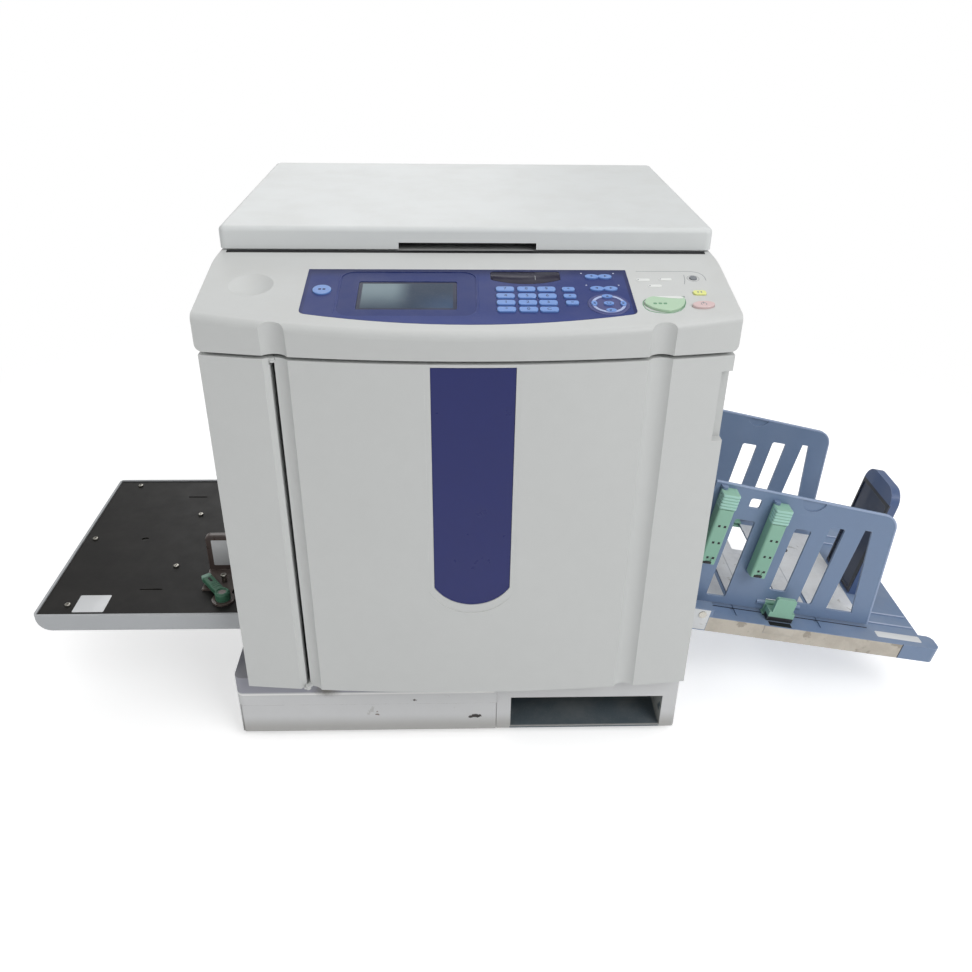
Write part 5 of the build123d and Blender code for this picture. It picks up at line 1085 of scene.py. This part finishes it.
trayTrim = {
    "nearFace": -189.8,
    "label": (357.0, 438.0, -178.0, -162.0),
    "sliderPlate": (153.0, 204.0, -16.0, -0.6), "sliderSlotShade": (160.5, 199.5, -189.3, -178.5),
    "bracket": (27.0, 55.0, -27.0, 12.0), "boss": (43.0, 3.0, 6.5),
    "ring": (258.0, 62.0, 17.0, 11.0),
    "arrangers": ((12.0, 91.0, 219.0), (102.0, 79.0, 207.0)),
    "arrangerWidth": 26.0, "arrangerFront": -176.3, "headHeight": 26.0,
    "ribs": 5, "ribHeight": 4.1, "ribProud": 1.0, "ribDepth": 17.0, "ribGap": 0.4,
    "holes": (0.70, 0.40, 0.12), "holeSize": 4.0, "holeAside": 4.6, "holeShift": 1.5,
    "holeFoot": (-8.0, 6.0, 0.4, 5.0),
    "hingeShadeLine": (62.0, 346.0, -157.4, -155.6),
    "fenceTop": ((3.0, 228.0), (312.0, 215.0), (346.0, 6.0)), "fenceRound": 28.0, "beadWidth": 3.4,
    "fences": (("near_fence", -152.0), ("far_fence", 148.0)), "beadSink": (0.2, -1.2),
}


def makeArrangerHeads():
    width, front, proud = trayTrim["arrangerWidth"], trayTrim["arrangerFront"], trayTrim["ribProud"]
    pitch = trayTrim["headHeight"] / trayTrim["ribs"]
    half, shown = trayTrim["holeSize"] / 2, front - 0.12
    for index, (start, low, high) in enumerate(trayTrim["arrangers"]):
        foot = high - pitch + trayTrim["ribGap"]
        model = addSlab("rib", (start - proud, front - proud, foot),
                        (start + width + proud, front + trayTrim["ribDepth"], foot + trayTrim["ribHeight"]),
                        corner=3.0, ease=0.9)
        ribs = [copyPiece(model, f"rib{step}", (0, 0, -pitch * step)) for step in range(trayTrim["ribs"])]
        bpy.data.objects.remove(model)
        head = joinPieces(f"arrangerHead{index + 1}", ribs)
        settle(head, f"near_arranger_{index + 1}", "paleMint", trayPlace)
        body = high - trayTrim["headHeight"] - low
        middle = start + width / 2
        # the holes, and the opening at the foot, are black insets: painted shade in their depth
        holes = []
        for share in trayTrim["holes"]:
            for aside in (-trayTrim["holeAside"], trayTrim["holeAside"]):
                x, z = middle + trayTrim["holeShift"] + aside, low + body * share
                holes.append(addSlab("holeShade", (x - half, shown, z - half),
                                     (x + half, front + 0.6, z + half), ease=0.1))
        left, right, foot, top = trayTrim["holeFoot"]
        holes.append(addSlab("holeShade", (middle + left, shown, low + foot),
                             (middle + right, front + 0.9, low + top), ease=0.1))
        settle(joinPieces(f"arrangerHoleShades{index + 1}", holes), f"near_arranger_{index + 1}",
               "blackTrim", trayPlace)


def makeFenceBeads():
    # A pale bead along each fence's top edge, round its corner and down its end
    first, corner, last = (Vector(point) for point in trayTrim["fenceTop"])
    radius = trayTrim["fenceRound"]
    into, outOf = (corner - first).normalized(), (last - corner).normalized()
    turnIn, turnOut = (degrees(atan2(way.y, way.x)) for way in (into, outOf))
    reach = radius * tan(radians(turnIn - turnOut) / 2)
    centre = corner - into * reach + Vector((into.y, -into.x)) * radius
    bend = arcPoints(centre, radius, 90 + turnIn, 90 + turnOut, 14, 0)
    points = [(*first, 0), *bend, (*last, 0)]
    outward, down = trayTrim["beadSink"]
    for name, face in trayTrim["fences"]:
        bead = addLine(f"{name}_bead", points, trayTrim["beadWidth"], flat=0.6)
        settle(bead, name, "paleBlue", trayPlace @ moved(0, face + outward, down) @ toFront)


def makeTrayTrim():
    face = trayTrim["nearFace"]
    left, right, front, back = trayTrim["label"]
    label = addSlab("trayLabel", (left, front, -0.05), (right, back, 0.25), corner=3.0, ease=0.08)
    settle(label, "cabinet", "blankLabel", trayPlace)
    left, right, low, high = trayTrim["sliderPlate"]
    plate = addSlab("sliderPlate", (left, face - 1.1, low), (right, face, high), ease=0.3)
    settle(plate, "cabinet", "tray_blue", trayPlace)
    left, right, low, high = trayTrim["bracket"]
    bracket = addSlab("trayBracket", (left, face - 1.0, low), (right, face + 0.2, high), ease=0.4)
    settle(bracket, "cabinet", "blankLabel", trayPlace)
    s, h, radius = trayTrim["boss"]
    boss = addDisc("trayBoss", (0, 0, 0), radius, 1.6, ease=0.4)
    settle(boss, "cabinet", "screwSteel", trayPlace @ moved(s, face - 0.8, h) @ toFront)
    s, y, wide, deep = trayTrim["ring"]
    points = [(s + wide * cos(a), y + deep * sin(a), 1.0) for a in (2 * pi * step / 40 for step in range(40))]
    ring = addLine("floorRing", points, 2.2, True, 0.3)
    settle(ring, "cabinet", "blackTrim", trayPlace)
    # black strips as painted shade: in the gap along the fence's hinge and in the slider's slot
    for name, rise, ease in (("hingeShadeLine", 0.35, 0.08), ("sliderSlotShade", 0.16, 0.05)):
        left, right, front, back = trayTrim[name]
        strip = addSlab(name, (left, front, -0.05), (right, back, rise), ease=ease)
        settle(strip, "cabinet", "blackTrim", trayPlace)


makeArrangerHeads()
makeFenceBeads()
makeTrayTrim()
print("receiving side trimmed")


# Lid and covers

coverTrim = {
    "strip": (330.0, 168.5, 175.2),     # painted shadow under the lid's front edge, as a dark strip on the panel in front of it
    "bumpers": ((-318.0, -165.0), (-107.0, -168.0), (318.0, -165.0)),
    "bumperFoot": 764.35, "bumperSize": (5.0, 1.9),
    "screwRadius": 3.8, "screwHeight": 1.0,
    "rearFace": 334.9,
    "rearScrews": ((-320.0, 660.0), (0.0, 660.0), (320.0, 660.0), (-320.0, 400.0), (320.0, 400.0),
                   (-320.0, 150.0), (0.0, 150.0), (320.0, 150.0)),
    "sideFace": 339.9, "sideScrews": ((-300.0, 650.0), (290.0, 650.0), (-320.0, 150.0), (300.0, 150.0)),
    "inlet": (250.0, 200.0, 28.0, 20.0), "inletRim": 4.0, "inletDepth": (334.7, 335.6),
    "blades": (-7.0, 0.0, 7.0), "bladeSize": (1.0, 2.4), "bladeDepth": (317.2, 331.0),
}


def makeCoverTrim():
    # painted shadow: a dark strip on the panel stands in for the shadow under the lid's front edge
    half, low, high = coverTrim["strip"]
    lidShadow = addSlab("lidShadowStrip", (-half, low, -0.3), (half, high, 0.6), ease=0.25)
    settle(lidShadow, "scanner_table", "blackTrim", panelPlace)
    for index, (x, y) in enumerate(coverTrim["bumpers"]):
        foot = addDisc(f"lidBumper{index + 1}", (x, y, coverTrim["bumperFoot"]), *coverTrim["bumperSize"],
                       ease=0.4)
        settle(foot, "lid", "foot_rubber")
    screw = addScrew("coverScrew", (0, 0, 0), coverTrim["screwRadius"], coverTrim["screwHeight"])
    toBack = Matrix.Rotation(-pi / 2, 4, "X")
    for index, (x, z) in enumerate(coverTrim["rearScrews"]):
        head = copyPiece(screw, f"rearScrew{index + 1}")
        settle(head, "cabinet", "screwSteel", moved(x, coverTrim["rearFace"], z) @ toBack)
    for side in (-1, 1):
        toSide = Matrix.Rotation(side * pi / 2, 4, "Y")
        for index, (y, z) in enumerate(coverTrim["sideScrews"]):
            head = copyPiece(screw, f"sideScrew{'LR'[side > 0]}{index + 1}")
            settle(head, "cabinet", "screwSteel",
                   moved(side * coverTrim["sideFace"], y, z) @ toSide)
    bpy.data.objects.remove(screw)


def makeInlet():
    # A rim with its middle open at the front and the back, and three blades inside
    x, z, wide, tall = coverTrim["inlet"]
    rim = coverTrim["inletRim"]
    front, back = coverTrim["inletDepth"]
    frameRim = addSlab("inletRim", (x - wide / 2 - rim, front, z - tall / 2 - rim),
                       (x + wide / 2 + rim, back, z + tall / 2 + rim))
    for way in (1, -1):
        openEdit(frameRim, "faces", lambda face: face.normal.y * way > 0.9)
        bpy.ops.mesh.inset(thickness=rim * mm)
        bpy.ops.mesh.delete(type="FACE")
        closeEdit()
    openEdit(frameRim, "edges", lambda edge: edge.is_boundary)
    bpy.ops.mesh.bridge_edge_loops()
    faceOutwards()
    easeEdges(frameRim, 0.3)
    settle(frameRim, "cabinet", "blackTrim")
    thin, flat = coverTrim["bladeSize"]
    front, back = coverTrim["bladeDepth"]
    for index, aside in enumerate(coverTrim["blades"]):
        blade = addSlab(f"inletBlade{index + 1}", (x + aside - thin, front, z - flat),
                        (x + aside + thin, back, z + flat), ease=0.3)
        settle(blade, "cabinet", "brassPin")


makeCoverTrim()
makeInlet()
print("covers trimmed")


# Stage, light and camera

stageLook = {"radius": 9.0, "height": -0.0005, "white": 0.86, "haze": 0.5, "clear": 1.0, "gone": 1.9,
             "sky": 0.4}
lampAim = (0, 0, 0.4)
lamps = {      # place, size, power
    "key": ((1.9, -2.3, 2.7), 2.0, 56.0), "fill": ((-2.4, -1.9, 1.7), 2.2, 9.0),
    "top": ((0.4, 0.4, 3.2), 2.4, 24.0), "back": ((-0.6, 3.0, 2.2), 2.0, 20.0),
}
view = {"place": (-0.0156, -1.4232, 1.1002), "lens": 33.41, "down": 29.7, "right": 2.1, "roll": 0.8}


def makeStage():
    # Pale floor that keeps the shadow near the object and turns plain white further off
    clearSelection()
    bpy.ops.mesh.primitive_circle_add(vertices=64, radius=stageLook["radius"], fill_type="NGON",
                                      location=(0, 0, stageLook["height"]))
    floor = takeNew("stageFloor")
    material = bpy.data.materials.new("stageWhite")
    material.use_nodes = True
    tree = material.node_tree
    tree.nodes.clear()
    matte = addNode(tree, "BsdfDiffuse", {"Color": (stageLook["white"],) * 3 + (1,)})
    path = tree.nodes.new("ShaderNodeLightPath")
    seen = calc(tree, "MAXIMUM", path.outputs["Is Camera Ray"],
                calc(tree, "MAXIMUM", path.outputs["Is Glossy Ray"], path.outputs["Is Transmission Ray"]))
    hazy = addNode(tree, "Emission", {"Strength": calc(tree, "MULTIPLY", seen, stageLook["haze"])})
    near = addNode(tree, "AddShader", {0: matte.outputs[0], 1: hazy.outputs[0]})
    plain = addNode(tree, "Emission", {"Strength": 1.0})
    place = tree.nodes.new("ShaderNodeTexCoord").outputs["Object"]
    away = addNode(tree, "VectorMath", {0: place}, operation="LENGTH").outputs["Value"]
    far = calc(tree, "MULTIPLY", spread(tree, away, stageLook["clear"], stageLook["gone"]), seen)
    mixed = addNode(tree, "MixShader", {0: far, 1: near.outputs[0], 2: plain.outputs[0]})
    addNode(tree, "OutputMaterial", {0: mixed.outputs[0]})
    floor.data.materials.append(material)
    world = bpy.context.scene.world or bpy.data.worlds.new("studio")
    bpy.context.scene.world = world
    world.use_nodes = True
    tree = world.node_tree
    tree.nodes.clear()
    path = tree.nodes.new("ShaderNodeLightPath")
    seen = calc(tree, "MAXIMUM", path.outputs["Is Camera Ray"], path.outputs["Is Transmission Ray"])
    sky = addNode(tree, "Background", {"Color": (1, 1, 1, 1), "Strength": stageLook["sky"]})
    plain = addNode(tree, "Background", {"Color": (1, 1, 1, 1), "Strength": 1.0})
    mixed = addNode(tree, "MixShader", {0: seen, 1: sky.outputs[0], 2: plain.outputs[0]})
    addNode(tree, "OutputWorld", {0: mixed.outputs[0]})


def makeLamps():
    for name, (place, size, power) in lamps.items():
        light = bpy.data.lights.new(name, "AREA")
        light.size = size
        light.energy = power
        lamp = bpy.data.objects.new(name, light)
        bpy.context.collection.objects.link(lamp)
        lamp.location = place
        aim = Vector(lampAim) - Vector(place)
        lamp.rotation_euler = aim.to_track_quat("-Z", "Y").to_euler()


def makeCamera():
    data = bpy.data.cameras.new("photoView")
    data.lens = view["lens"]
    data.sensor_width = 36
    data.clip_start = 0.05
    camera = bpy.data.objects.new("photoView", data)
    bpy.context.collection.objects.link(camera)
    aside = Matrix.Rotation(-radians(view["right"]), 4, "Z")
    tilt = Matrix.Rotation(pi / 2 - radians(view["down"]), 4, "X")
    roll = Matrix.Rotation(radians(view["roll"]), 4, "Z")
    camera.matrix_world = Matrix.Translation(view["place"]) @ aside @ tilt @ roll
    bpy.context.scene.camera = camera


makeStage()
makeLamps()
makeCamera()
bpy.context.scene.view_settings.view_transform = "Standard"
print("stage, lamps and camera set")
